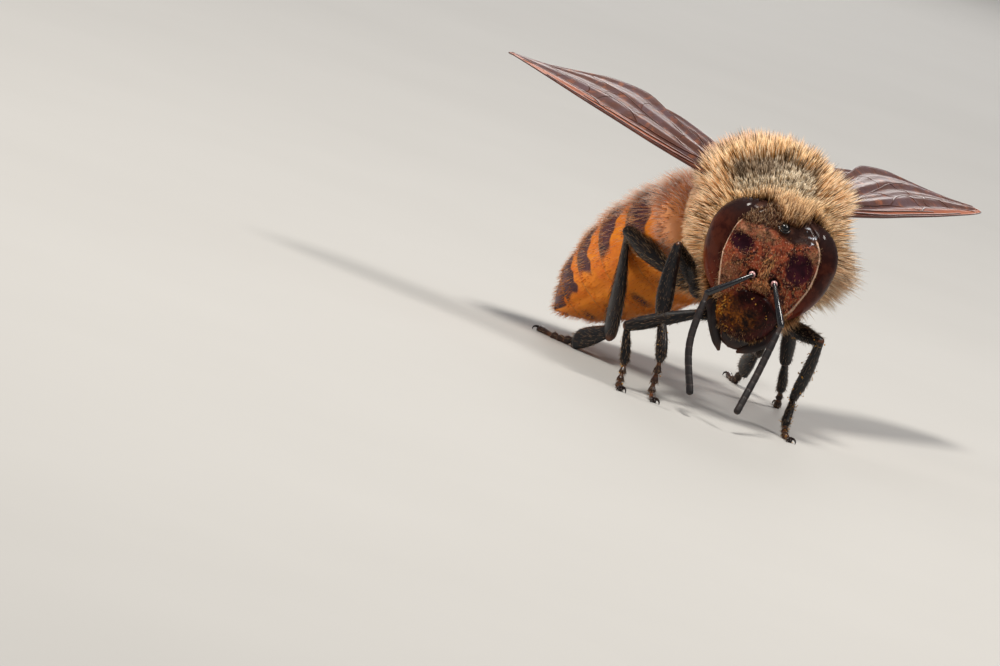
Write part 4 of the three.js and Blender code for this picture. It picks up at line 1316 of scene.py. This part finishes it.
def abdomen_finish():
    shades = colours()
    finish = Finish("abdomen_shell")
    band, belly, lip, fore = map(finish.painted, ("band", "belly", "lip", "fore"))
    cloud = finish.noise(2.2, detail=5, roughness=0.6)
    grain = finish.noise(20, detail=3)
    ragged = (band + (grain - 0.5) * 0.4 + (cloud - 0.5) * 0.6).step(0.2, 0.8)
    core = (cloud * 0.6 + grain * 0.4).step(0.42, 0.6)
    colour = finish.layers(
        shades.orange,
        (cloud.step(0.3, 0.75), (0.75, 0.16, 0.015)),
        # Brighter orange on the belly is painted warm light from below.
        (belly * 0.6, (1.0, 0.34, 0.04)),
        (ragged, finish.blend(core, shades.band, (0.045, 0.018, 0.022))),
        (lip.step(0.3, 1) * 0.55, (0.4, 0.2, 0.08)),
        (fore * (0.4 + cloud * 0.5), (0.9, 0.46, 0.24)),
    )
    normal = finish.relief(finish.cells(26).step(0.05, 0.4), 0.004, 0.5)
    normal = finish.relief(finish.noise(6, detail=4), 0.02, 0.4, over=normal)
    return finish.shade(colour, 0.32 + grain * 0.2, normal, gloss=0.12, gloss_rough=0.2, shine=0.25)


class BEE_OT_abdomen(Operator):
    """Models the six overlapping plates of the abdomen with their bands"""

    bl_idname = "bee.abdomen"
    bl_label = "Abdomen"

    def execute(self, context):
        material = abdomen_finish()
        for index in range(LAST_PLATE + 1):
            places, share, extra = plate_rows(index)
            lip_rows = 0 if index == LAST_PLATE else len(LIP_IN)
            places = np.append(places, [places[-1]] * lip_rows)
            extra = np.append(extra, [extra[-1] - inward for inward in LIP_IN[:lip_rows]])
            share = np.append(share, [1] * lip_rows)
            rings, angles = abdomen_ring(places, extra)
            if lip_rows:
                _, axes = abdomen_frames(places[-lip_rows:])
                rings[-lip_rows:] -= (axes[:, 1] * np.array(LIP_BACK)[:, None])[:, None]
            paint = {
                "band": band_paint(index, share, angles),
                "belly": belly_share(np.sin(angles)),
                "lip": soft_step(share, 0.93, 1)[:, None],
                "fore": 1.0 if index == 0 else soft_step(share, 0.3, 0)[:, None] * (index == 1),
            }
            shape = Shape()
            shape.add_grid(rings, **paint)
            slot = "abdomen_orange" if index < 3 else "abdomen_dark"
            shape.piece(f"abdomen_plate_{index + 1}", material, slot, f"abdomen_{index + 1}")
        return {"FINISHED"}


class BEE_OT_abdomen_hair(Operator):
    """Grows the short pale hair that lies back over the plates of the abdomen"""

    bl_idname = "bee.abdomen_hair"
    bl_label = "Abdomen hair"

    def execute(self, context):
        rng = np.random.default_rng(23)
        hairs = Hairs()
        for index, count in enumerate(PLATE_HAIRS):
            places, share, extra = plate_rows(index, 20)
            back = -abdomen_axes((places[0] + places[-1]) / 2)[1]
            visible = share >= 0
            places, share, extra = places[visible], share[visible][:, None], extra[visible]
            rings, angles = abdomen_ring(places, extra, 80)
            around = np.append(angles, math.tau)
            flat = np.stack(np.meshgrid(around / math.tau, places), axis=-1)
            surface = Surface(closed_columns(rings), flat)
            density = 0.35 + soft_step(share, 0.5, 1) + 0.6 * soft_step(share, 0.3, 0)
            density = density * (0.6 + 0.4 * np.sin(around)[None] ** 2)
            root, normal, flat_root = surface.scatter(count, density, rng)
            on_back = soft_step(normal[:, 2], 0.25, 0.7)
            lift = PLATE_HAIR_LIFT[index] + 0.8 * on_back
            way = unit(normal * lift[:, None] + back + rng.normal(0, 0.16, (count, 3)))
            length = rng.uniform(0.13, 0.26, count) * PLATE_HAIR_REACH[index] * (1 + 0.8 * on_back)
            hairs.add(
                root - normal * 0.01, way, back * 0.15 - normal * 0.06, length, 0.008, flat_root,
                # Hairs low on the sides are painted bright orange as warm light from below.
                tone=rng.random(count), low=soft_step(normal[:, 2], 0, -0.4) * (index > 0),
                pale=np.maximum(on_back, PLATE_HAIR_PALE[index]),
            )
        # The low zone's bright orange shaft and tip are painted warm light from below.
        material = coat_finish(
            "abdomen_hair", (0.85, 0.3, 0.07), (0.95, 0.42, 0.14), (1.0, 0.6, 0.3),
            {"pale": (0.96, 0.8, 0.7), "low": (1.0, 0.32, 0.04)}, depth=0.12,
            tips={"pale": (1.0, 0.93, 0.86), "low": (1.0, 0.45, 0.1)},
        )
        nodes = [f"abdomen_{index + 1}" for index in range(LAST_PLATE + 1)]
        hairs.pieces("abdomen_hair", material, "abdomen_orange", nodes, rings=2)
        return {"FINISHED"}


# ---------- the wings ----------
def turned_pair(first, second, degrees):
    """Two directions of a plane, both turned from the first towards the second."""
    turn = np.radians(np.asarray(degrees, float))[..., None]
    return first * np.cos(turn) + second * np.sin(turn), second * np.cos(turn) - first * np.sin(turn)


class Wing:
    """One wing as a curved sheet that can be asked for the place of a vein."""

    def __init__(self, side_name, hind):
        span, self.rise, self.droop = WING_SPREAD[side_name]
        self.root = np.array(WING_ROOT) * [SIDES[side_name], 1, 1]
        self.along = unit(span)
        self.level = unit(np.cross([0, 0, 1], self.along))
        self.level = self.level * np.sign(self.level[1])
        self.normal = np.cross(self.along, self.level)
        self.normal = self.normal * np.sign(self.normal[2])
        self.edges, self.length, self.veins, self.phase = FOREWING, FOREWING_LENGTH, FOREWING_VEINS, 0
        if hind:
            chord, upright = turned_pair(self.level, self.normal, self.rise)
            self.root = self.root - 0.15 * self.along + 0.55 * chord - [0, 0, 0.3]
            self.along, self.level = turned_pair(self.along, chord, 9)
            self.normal, self.rise, self.droop = upright, 0, 0
            self.edges, self.length, self.veins, self.phase = HINDWING, HINDWING_LENGTH, HINDWING_VEINS, 2.1

    def at(self, place, across, lift=0.0):
        """Points at shares of the length and of the way from the leading to the trailing edge."""
        place, across = np.broadcast_arrays(np.asarray(place, float), np.asarray(across, float))
        lead, trail = look_up(self.edges, place), look_up(self.edges, place, 2)
        edge = lead + (trail - lead) * across
        folds = (
            0.05 * np.sin(across * 19 + 1.5 * place + self.phase) * (1 - place * 0.55)
            + 0.03 * np.sin(across * 37 + 5 * place) * (1 - place * 0.4)
            + 0.07 * np.sin(place * 5 + across * 2 + self.phase) * across
        ) * soft_step(place, 0.0, 0.12)
        height = folds * soft_step(across, 0, 0.12) + 0.2 * across * (1 - across) + lift
        bend = np.clip((place - DROOP_START) / (1 - DROOP_START), 0, 1) ** 2
        chord, upright = turned_pair(self.level, self.normal, self.rise - self.droop * bend)
        points = self.root + (place * self.length)[..., None] * self.along
        return points - (edge * self.length)[..., None] * chord + height[..., None] * upright


def membrane_finish():
    shades = colours()
    finish = Finish("wing_membrane")
    place, across = finish.painted("place"), finish.painted("across")
    cloud = finish.noise(1.1, detail=4, distortion=0.6)
    streak = finish.noise(3.5, detail=3, roughness=0.6)
    colour = finish.layers(
        shades.wing,
        (cloud.step(0.35, 0.7), (0.115, 0.07, 0.077)),
        (streak.step(0.5, 0.75) * 0.7, (0.32, 0.11, 0.05)),
        (across.step(0.22, 0.0) * 0.8, (0.42, 0.11, 0.035)),
        (place.step(0.15, 0) * 0.7, shades.vein),
    )
    opaque = 0.95 + streak.step(0.45, 0.8) * 0.05 - across * 0.06
    normal = finish.relief(finish.cells(16).step(0.04, 0.2), 0.004, 0.5)
    normal = finish.relief(finish.noise(2.4, detail=4), 0.05, 0.7, over=normal)
    rough = 0.36 + cloud * 0.2
    return finish.shade(colour, rough, normal, gloss=0.05, gloss_rough=0.1, shine=0.12, opaque=opaque)


def wing_veins(wing):
    """The tubes of a wing's veins and of its edge."""
    for girth, route in wing.veins:
        route = np.array(route)
        rounded = smooth_path(np.column_stack([route * [1, 0.4], np.zeros(len(route))]), 30)
        line = wing.at(rounded[:, 0], rounded[:, 1] / 0.4, 0.006)
        yield tube(line, np.array([1.0, 0.9, 0.75, 0.6]) * girth, 8, 34, 0.7, wing.level)
    edge = np.linspace(0, 1, 60)
    outline = np.vstack([wing.at(edge, 0 * edge + 0.004), wing.at(edge[::-1], 0 * edge + 0.996)[1:]])
    yield tube(outline, [0.05, 0.035, 0.02, 0.012, 0.012, 0.012], 8, 160)


def wing_hooks(wing):
    """The hooks on the leading edge of a hindwing that couple it to the forewing."""
    for place in np.linspace(0.42, 0.62, 20):
        base = wing.at(np.array([place]), np.array([0.0]))[0]
        crook = base - wing.level * 0.07 + wing.normal * 0.03
        point = base - wing.level * 0.06 + wing.normal * 0.09
        yield tube([base, crook, point], [0.012, 0.01, 0.006], 6, 8, round_ends=2)


class BEE_OT_wings(Operator):
    """Models the four wings with their folds, veins and coupling hooks"""

    bl_idname = "bee.wings"
    bl_label = "Wings"

    def execute(self, context):
        membrane = membrane_finish()
        vein = glossy_shell(
            "wing_vein", dark=colours().vein, warm=(0.12, 0.03, 0.012), pits=30, rough=0.3, gloss=0.5,
        )
        place = np.linspace(0, 1, 120)[:, None] ** 0.92
        across = np.linspace(0, 1, 56)[None]
        thickness = sizes().wing_thickness / METRES
        for side_name in SIDES:
            for kind in ("forewing", "hindwing"):
                wing = Wing(side_name, kind == "hindwing")
                shape = Shape()
                shape.add_sheet(wing.at(place, across), thickness, place=place, across=across)
                shape.piece(f"{kind}_membrane_{side_name}", membrane, "wing", f"{kind}_{side_name}")
                bodies = [(points, 0) for points in wing_veins(wing)]
                if kind == "hindwing":
                    bodies += [(points, 0.4) for points in wing_hooks(wing)]
                write_joined(f"{kind}_veins_{side_name}", vein, "wing", f"{kind}_{side_name}", bodies)
        return {"FINISHED"}


# ---------- the legs ----------
def leg_parts(name):
    """The tubes of one leg by segment, the last of each being the one that bears its hair."""
    row, side_name = name.split("_")
    (coxa, trochanter, knee, ankle), foot = (np.array(each, float) for each in LEGS[name])
    hip_girth, thigh_girth, shin_girth = LEG_GIRTH[row]
    side = SIDES[side_name]
    broad = np.array([0, 1.0, 0.35]) if row == "hind" else None
    bow = unit(np.cross(knee - trochanter, [0, 0, 1])) * 0.05 * side
    small = trochanter + unit(knee - trochanter) * 0.34
    hip = [coxa, (coxa + trochanter) / 2 + [0.04 * side, 0, 0], trochanter]
    thigh = [small, (small + knee) / 2 + bow, knee]
    shin = [knee, (knee + ankle) / 2 - bow, ankle]
    return {
        "coxa": [tube(hip, hip_girth, 26, 24)],
        "femur": [
            tube([trochanter, small], [0.17, 0.2, 0.17, 0.13], 22, 14),
            tube(thigh, thigh_girth, 28, 44, 0.82),
        ],
        "tibia": [tube(shin, shin_girth, 30, 48, LEG_FLATNESS[row][0], broad)],
        "tarsus": [tarsus_rings(ankle, foot, row, broad)],
    }


def tarsus_rings(ankle, foot, row, broad, steps=110):
    """A tarsus of a long first joint, three short ones and a slim last one."""
    wide, narrow = TARSUS_GIRTH[row]
    line = smooth_path([ankle, *foot], steps)
    place = np.linspace(0, 1, steps)
    girth = np.zeros(steps)
    for joint, (start, end) in enumerate(zip(TARSUS_JOINTS, TARSUS_JOINTS[1:])):
        inside = (place >= start) & (place < end)
        share = (place[inside] - start) / (end - start)
        if joint == 0:
            swell = 0.55 + 0.45 * np.sin(np.clip(share * 1.15, 0, 1) * math.pi * 0.62)
            girth[inside] = wide * swell * (1 - 0.45 * soft_step(share, 0.86, 1))
        elif joint == 4:
            girth[inside] = narrow * (0.45 + 0.4 * share)
        else:
            swell = 0.5 + 0.55 * soft_step(share, 0, 0.8)
            girth[inside] = narrow * swell * (1 - 0.4 * soft_step(share, 0.88, 1))
    _, wides, thins = carried_axes(line, broad)
    flatness = np.interp(place, [0, 0.5, 0.6, 1], [*LEG_FLATNESS[row][1:], 0.85, 0.9])
    return rings_round(line, wides, thins, girth, 22, flatness)


def foot_claws(foot):
    """Two curved claws and the pad between them at the end of a tarsus."""
    end, before = foot[-1], foot[-2]
    ahead = unit(end - before)
    aside = unit(np.cross(ahead, [0, 0, 1]))
    for turn in (-1, 1):
        path = [
            end - ahead * 0.03,
            end + ahead * 0.09 + aside * turn * 0.07 + [0, 0, 0.045],
            end + ahead * 0.19 + aside * turn * 0.12,
            end + ahead * 0.2 + aside * turn * 0.135 + [0, 0, -0.07],
        ]
        yield tube(path, [0.045, 0.04, 0.028, 0.01], 12, 22, round_ends=2)
    yield tube([end - ahead * 0.02, end + ahead * 0.1 - [0, 0, 0.035]], [0.05, 0.065, 0.055], 14, 10)


class BEE_OT_legs(Operator):
    """Models the six legs: coxa, trochanter and femur, tibia, and tarsus with its claws"""

    bl_idname = "bee.legs"
    bl_label = "Legs"

    def execute(self, context):
        finish = glossy_shell(
            "leg_shell", dark=(0.005, 0.005, 0.006), warm=(0.014, 0.008, 0.006), pits=28, rough=0.3,
            gloss=0.25, joint=(0.1, 0.035, 0.014),
        )
        for name in LEGS:
            for segment, tubes in leg_parts(name).items():
                bodies = []
                for points in tubes:
                    rows = np.linspace(0, 1, points.shape[0])
                    near_joint = np.maximum(soft_step(rows, 0.1, 0.02), soft_step(rows, 0.92, 0.99)) * 0.8
                    if segment == "tarsus":
                        spokes = points - points.mean(axis=1, keepdims=True)
                        girth = np.linalg.norm(spokes, axis=-1).max(axis=1)
                        near_joint = soft_step(girth, 0.085, 0.05) * 0.9 + 0.35 * soft_step(rows, 0.45, 0.6)
                    bodies.append((points, near_joint[:, None]))
                if segment == "tarsus":
                    bodies += [(points, 0.25) for points in foot_claws(np.array(LEGS[name][1], float))]
                write_joined(f"{segment}_shell_{name}", finish, "leg", f"{segment}_{name}", bodies)
        return {"FINISHED"}


class BEE_OT_leg_hair(Operator):
    """Grows the hair of the legs, with the brushes and the fringe of the hind shin"""

    bl_idname = "bee.leg_hair"
    bl_label = "Leg hair"

    def execute(self, context):
        rng = np.random.default_rng(31)
        hairs = Hairs()
        segments = ((name, segment, tubes) for name in LEGS for segment, tubes in leg_parts(name).items())
        for cell, (name, segment, tubes) in enumerate(segments):
            points = closed_columns(tubes[-1][4:-4])
            rows, columns = points.shape[:2]
            across, down = np.meshgrid(np.linspace(0.02, 0.98, columns), np.linspace(0.02, 0.98, rows))
            flat = np.stack([(cell % 5 + across) / 5, (cell // 5 + down) / 5], axis=-1)
            surface = Surface(points, flat)
            count, reach, dark = LEG_HAIR[segment]
            fringed = name.startswith("hind") and segment == "tibia"
            density = np.ones((rows, columns))
            if fringed:
                density = 0.12 + 2 * np.abs(np.cos(np.linspace(0, math.tau, columns)))[None] ** 4 * density
            root, normal, flat_root = surface.scatter(count, density, rng)
            onward = unit(points[-1].mean(axis=0) - points[0].mean(axis=0))
            length = rng.uniform(0.5, 1.15, count) * reach
            bend = onward * 0.2 + rng.normal(0, 0.05, (count, 3))
            way = unit(normal * 0.5 + onward * 0.85 + rng.normal(0, 0.14, (count, 3)))
            if fringed:
                length, bend = length * 1.9, bend + onward * 0.25 - normal * 0.2
            # No hair reaches down through the floor.
            fall = np.maximum(-(way + bend)[:, 2], 0.05)
            length = np.minimum(length, np.maximum((root[:, 2] - FLOOR_HEIGHT) / fall, 0.02))
            tone = rng.random(count)
            hairs.add(root - normal * 0.01, way, bend, length, 0.007, flat_root, tone=tone, dark=dark)
        material = coat_finish(
            "leg_hair", (0.04, 0.02, 0.01), (0.46, 0.27, 0.12), (0.66, 0.48, 0.31),
            {"dark": (0.1, 0.055, 0.03)}, depth=0.25,
        )
        nodes = [f"{segment}_{name}" for name in LEGS for segment in LEG_HAIR]
        hairs.pieces("leg_hair", material, "leg", nodes, rings=2)
        return {"FINISHED"}


# ---------- hair of the head ----------
class BEE_OT_head_hair(Operator):
    """Grows the short hair of the face, the ridge between the antennae and the fringe on the crown"""

    bl_idname = "bee.head_hair"
    bl_label = "Head hair"

    def execute(self, context):
        rng = np.random.default_rng(47)
        surface, marks, x, y, z = round_head()
        wide = np.abs(x)
        face = (y > 0) & (wide < look_up(EYE_MARGIN, np.clip(z, -1.3, 1.8)) - 0.06)
        behind = ((y < -0.05) | ((z < -1.2) & (y < 0.3))) & (wide < 1.75)
        off_eyes = soft_step(look_up(EYE_MARGIN, np.clip(z, -1.3, 1.9)) - wide, 0.0, 0.1)
        vertex = soft_step(z - 0.3 * soft_step(np.abs(x - 0.08), 0.2, 0.6), 1.46, 1.56)
        vertex = vertex * soft_step(wide, 1.0, 0.85) * np.where(y > 0.1, off_eyes, 1)
        bare = 1 - np.clip(marks["socket"] * 2 + marks["hollow"] * 1.1, 0, 1)
        plain = face * bare * (marks["clypeus"] < 0.1) * (z < 1.2)
        ridge = marks["ridge"] * soft_step(z, 0.9, 0.5)
        crown = marks["crown"] * off_eyes * soft_step(x, 0.1, -0.3) * (z < 1.8)
        nape = hill(x / 0.9, (z - 1.85) / 0.2) * (y < 0.35)
        cheeks = hill((wide - 0.98) / 0.1, (z + 0.95) / 0.2) * (y > 0.2)
        beard = hill((wide - 1.15) / 0.25, (z + 1.1) / 0.4) * (y < 0.15)
        down, up = np.array([0, 0, -1.0]), np.array([0, 0, 1.0])
        hairs = Hairs()

        def grow(count, density, reach, lift, lie, spread, radius, dark, fan=0.0, warm=0.0):
            """Hairs that lift off the head, lie over one way, fan out from its middle and spread."""
            root, normal, flat = surface.scatter(count, density, rng)
            way = unit(normal * lift + lie + root * [fan, 0, 0] + rng.normal(0, spread, (count, 3)))
            length = rng.uniform(0.6, 1.2, count) * reach
            bend = rng.normal(0, 0.08, (count, 3))
            tone = rng.random(count)
            foot = on_head(root - normal * 0.008)
            hairs.add(foot, way @ HEAD_AXES, bend, length, radius, flat, tone=tone, dark=dark, warm=warm)

        grow(1000, plain, 0.11, 0.6, down * 0.6, 0.2, 0.006, dark=0.7)
        grow(380, plain * soft_step(z, 0.9, 0.2), 0.14, 0.6, down * 0.7, 0.2, 0.006, dark=0.2)
        grow(170, ridge, 0.2, 0.5, down * 0.9, 0.14, 0.008, dark=0, warm=0.6)
        grow(420, marks["brow"] * bare, 0.15, 1, down * 0.5, 0.24, 0.01, dark=0, warm=0.8)
        grow(200, marks["clypeus"] * soft_step(z, -1.6, -1.85), 0.14, 1, down, 0.15, 0.006, dark=0.5)
        grow(160, marks["clypeus"], 0.07, 0.6, down * 0.8, 0.2, 0.005, dark=1)
        grow(500, marks["rim"], 0.06, 0.7, down * 0.5, 0.2, 0.005, dark=0)
        grow(700, marks["tan"] * bare, 0.12, 0.7, up * 0.3, 0.2, 0.006, dark=0.3)
        grow(1100, vertex * (y > -0.1), 0.52, 0.25, up * 1.1, 0.08, 0.011, dark=0.35, fan=0.5)
        grow(600, vertex * (y > 0.2), 0.24, 0.5, up * 0.9, 0.15, 0.009, dark=1, fan=0.4)
        grow(800, crown, 0.17, 0.4, up * 0.9, 0.16, 0.006, dark=1, fan=0.3)
        grow(2400, behind, 0.34, 1, up * 0.3, 0.25, 0.009, dark=0)
        grow(700, nape, 0.4, 0.5, up, 0.12, 0.011, dark=0.3, fan=0.3)
        grow(160, cheeks, 0.2, 0.8, down * 0.4, 0.2, 0.007, dark=0)
        grow(900, beard, 0.42, 0.8, down * 0.4, 0.15, 0.01, dark=0, fan=0.4, warm=0.4)
        hairs.gather(size=0.1, pull=0.3, rng=rng)
        material = coat_finish(
            "head_hair", (0.04, 0.016, 0.007), (0.66, 0.34, 0.11), (0.95, 0.68, 0.4),
            {"dark": (0.26, 0.09, 0.035), "warm": (1.0, 0.4, 0.15)}, depth=0.45,
        )
        hairs.pieces("head_hair", material, "head_shell", ("head",), rings=2)
        return {"FINISHED"}


# ---------- pollen ----------
def pollen_grain():
    """A small spiny grain: points and triangles round its centre, from a solid of twenty faces."""
    golden = (1 + math.sqrt(5)) / 2
    corners = [(0, a, b) for a in (-1, 1) for b in (-golden, golden)]
    corners = unit([*corners, *[(a, b, 0) for _, a, b in corners], *[(b, 0, a) for _, a, b in corners]])
    distance = np.linalg.norm(corners[:, None] - corners[None], axis=-1)
    near = np.min(distance[distance > 0.1]) * 1.05
    points, triangles = list(corners), []
    for a, b, c in itertools.combinations(range(len(corners)), 3):
        if max(distance[a, b], distance[b, c], distance[a, c]) < near:
            turn = np.dot(np.cross(corners[b] - corners[a], corners[c] - corners[a]), corners[a])
            b, c = (b, c) if turn > 0 else (c, b)
            spike = len(points)
            points.append(unit(corners[a] + corners[b] + corners[c]) * 1.35)
            triangles += [(a, b, spike), (b, c, spike), (c, a, spike)]
    return np.array(points), np.array(triangles)


class BEE_OT_pollen(Operator):
    """Dusts the face and some of the legs with grains of pollen"""

    bl_idname = "bee.pollen"
    bl_label = "Pollen"

    def execute(self, context):
        rng = np.random.default_rng(59)
        surface, _, x, y, z = round_head()
        spots = []
        for count, middle, width in FACE_POLLEN:
            density = hill((x - middle[0]) / width[0], (z - middle[1]) / width[1]) * (y > 0.1)
            root, normal, _ = surface.scatter(count, density, rng)
            spots.append(on_head(root + normal * 0.008))
        for name, segment, count in LEG_POLLEN:
            points = closed_columns(leg_parts(name)[segment][-1])
            leg = Surface(points)
            root, normal, _ = leg.scatter(count, np.ones(points.shape[:2]), rng)
            spots.append(root + normal * rng.uniform(0.01, 0.09, (count, 1)))
        spots = np.concatenate(spots)
        grain, triangles = pollen_grain()
        radius = sizes().pollen_radius / METRES * rng.uniform(0.7, 1.35, (len(spots), 1, 1))
        offsets = np.arange(len(spots))[:, None, None] * len(grain)
        tones = np.repeat(rng.random(len(spots)), len(grain))
        shape = Shape()
        shape.add(spots[:, None] + grain * radius, triangles=triangles + offsets, tone=tones)
        finish = Finish("pollen")
        tone = finish.painted("tone")
        bright = finish.noise(30, detail=2).step(0.4, 0.7)
        colour = finish.layers(colours().pollen, (tone, (0.5, 0.18, 0.01)), (bright * 0.4, (0.8, 0.5, 0.08)))
        material = finish.shade(colour, 0.55 + tone * 0.2, finish.relief(finish.noise(90), 0.002))
        shape.piece("pollen_grains", material, None)
        return {"FINISHED"}


# ---------- the stage ----------
def camera_axes():
    azimuth, elevation, roll = map(math.radians, CAMERA_TURN)
    flat = math.cos(elevation)
    back = Vector((math.sin(azimuth) * flat, -math.cos(azimuth) * flat, math.sin(elevation)))
    level = Vector((math.cos(azimuth), math.sin(azimuth), 0))
    upright = back.cross(level)
    right = math.cos(roll) * level + math.sin(roll) * upright
    up = -math.sin(roll) * level + math.cos(roll) * upright
    return right, up, back


def look_from(made, place, target, right):
    """Stands a camera or light at a place, looking at the target, with its width along right."""
    back = (place - target).normalized()
    across = (right - back * right.dot(back)).normalized()
    turn = Matrix((across, back.cross(across), back)).transposed()
    made.matrix_world = Matrix.Translation(place) @ turn.to_4x4()


class BEE_OT_stage(Operator):
    """Sets up the floor, the soft lights and the camera"""

    bl_idname = "bee.stage"
    bl_label = "Stage"

    def execute(self, context):
        scene = context.scene
        right, up, back = camera_axes()
        middle = Vector(THORAX_CENTRE * METRES)
        camera = bpy.data.objects.new("camera", bpy.data.cameras.new("camera"))
        camera.data.lens, camera.data.sensor_width = CAMERA_LENS, CAMERA_SENSOR
        camera.data.clip_start, camera.data.clip_end = 0.001, 20
        aim = middle + (right * CAMERA_AIM[0] + up * CAMERA_AIM[1]) * METRES
        look_from(camera, middle + back * CAMERA_DISTANCE * METRES, aim, right)
        scene.collection.objects.link(camera)
        scene.camera = camera

        scene.view_settings.view_transform = "Standard"
        for name, ((across, high, near), distance, size, power, colour) in LIGHTS.items():
            light = bpy.data.lights.new(name, "AREA")
            light.shape, light.size, light.size_y = "ELLIPSE", size, size * 2
            light.energy, light.color = power, colour
            made = bpy.data.objects.new(name, light)
            place = middle + (right * across + up * high + back * near).normalized() * distance
            look_from(made, place, middle, right)
            made.visible_glossy = name != "fill"
            scene.collection.objects.link(made)

        world = bpy.data.worlds.new("studio")
        world.use_nodes = True
        sky = world.node_tree.nodes["Background"]
        sky.inputs["Color"].default_value = SKY_COLOUR
        sky.inputs["Strength"].default_value = SKY_POWER
        scene.world = world

        finish = Finish("floor")
        speckle = finish.noise(0.06, detail=4)
        colour = finish.blend(speckle, colours().floor, tuple(each * 0.94 for each in colours().floor))
        normal = finish.relief(finish.noise(0.4, detail=3), 0.01, 0.2)
        floor_finish = finish.shade(colour, 0.75 + speckle * 0.1, normal)
        turns = full_turn(FLOOR_CORNERS)
        rim = [(math.cos(turn) * FLOOR_RADIUS, math.sin(turn) * FLOOR_RADIUS, 0) for turn in turns]
        mesh = bpy.data.meshes.new("floor")
        mesh.from_pydata(rim, [], [tuple(range(FLOOR_CORNERS))])
        mesh.materials.append(floor_finish)
        floor = bpy.data.objects.new("floor", mesh)
        scene.collection.objects.link(floor)
        return {"FINISHED"}


STEPS = (
    BEE_OT_stage, BEE_OT_head, BEE_OT_eyes, BEE_OT_antennae, BEE_OT_mouthparts, BEE_OT_head_hair,
    BEE_OT_thorax, BEE_OT_thorax_fur, BEE_OT_abdomen, BEE_OT_abdomen_hair, BEE_OT_wings, BEE_OT_legs,
    BEE_OT_leg_hair, BEE_OT_pollen,
)


class BEE_PT_panel(Panel):
    """Lists the sizes, the colours and the steps that build the bee"""

    bl_idname = "BEE_PT_panel"
    bl_label = "Honey Bee"
    bl_space_type = "VIEW_3D"
    bl_region_type = "UI"
    bl_category = "Honey Bee"

    def draw(self, context):
        for group in (sizes(), colours()):
            box = self.layout.box()
            for name in group.__annotations__:
                box.prop(group, name)
        column = self.layout.column(align=True)
        for step in STEPS:
            column.operator(step.bl_idname)


CLASSES = (BeeSizes, BeeColours, *STEPS, BEE_PT_panel)


def register():
    for each in CLASSES:
        bpy.utils.register_class(each)
    bpy.types.Scene.bee_sizes = PointerProperty(type=BeeSizes)
    bpy.types.Scene.bee_colours = PointerProperty(type=BeeColours)


def unregister():
    del bpy.types.Scene.bee_sizes
    del bpy.types.Scene.bee_colours
    for each in reversed(CLASSES):
        bpy.utils.unregister_class(each)


def main():
    register()
    for step in STEPS:
        group, name = step.bl_idname.split(".")
        getattr(getattr(bpy.ops, group), name)()


if __name__ == "__main__":
    main()
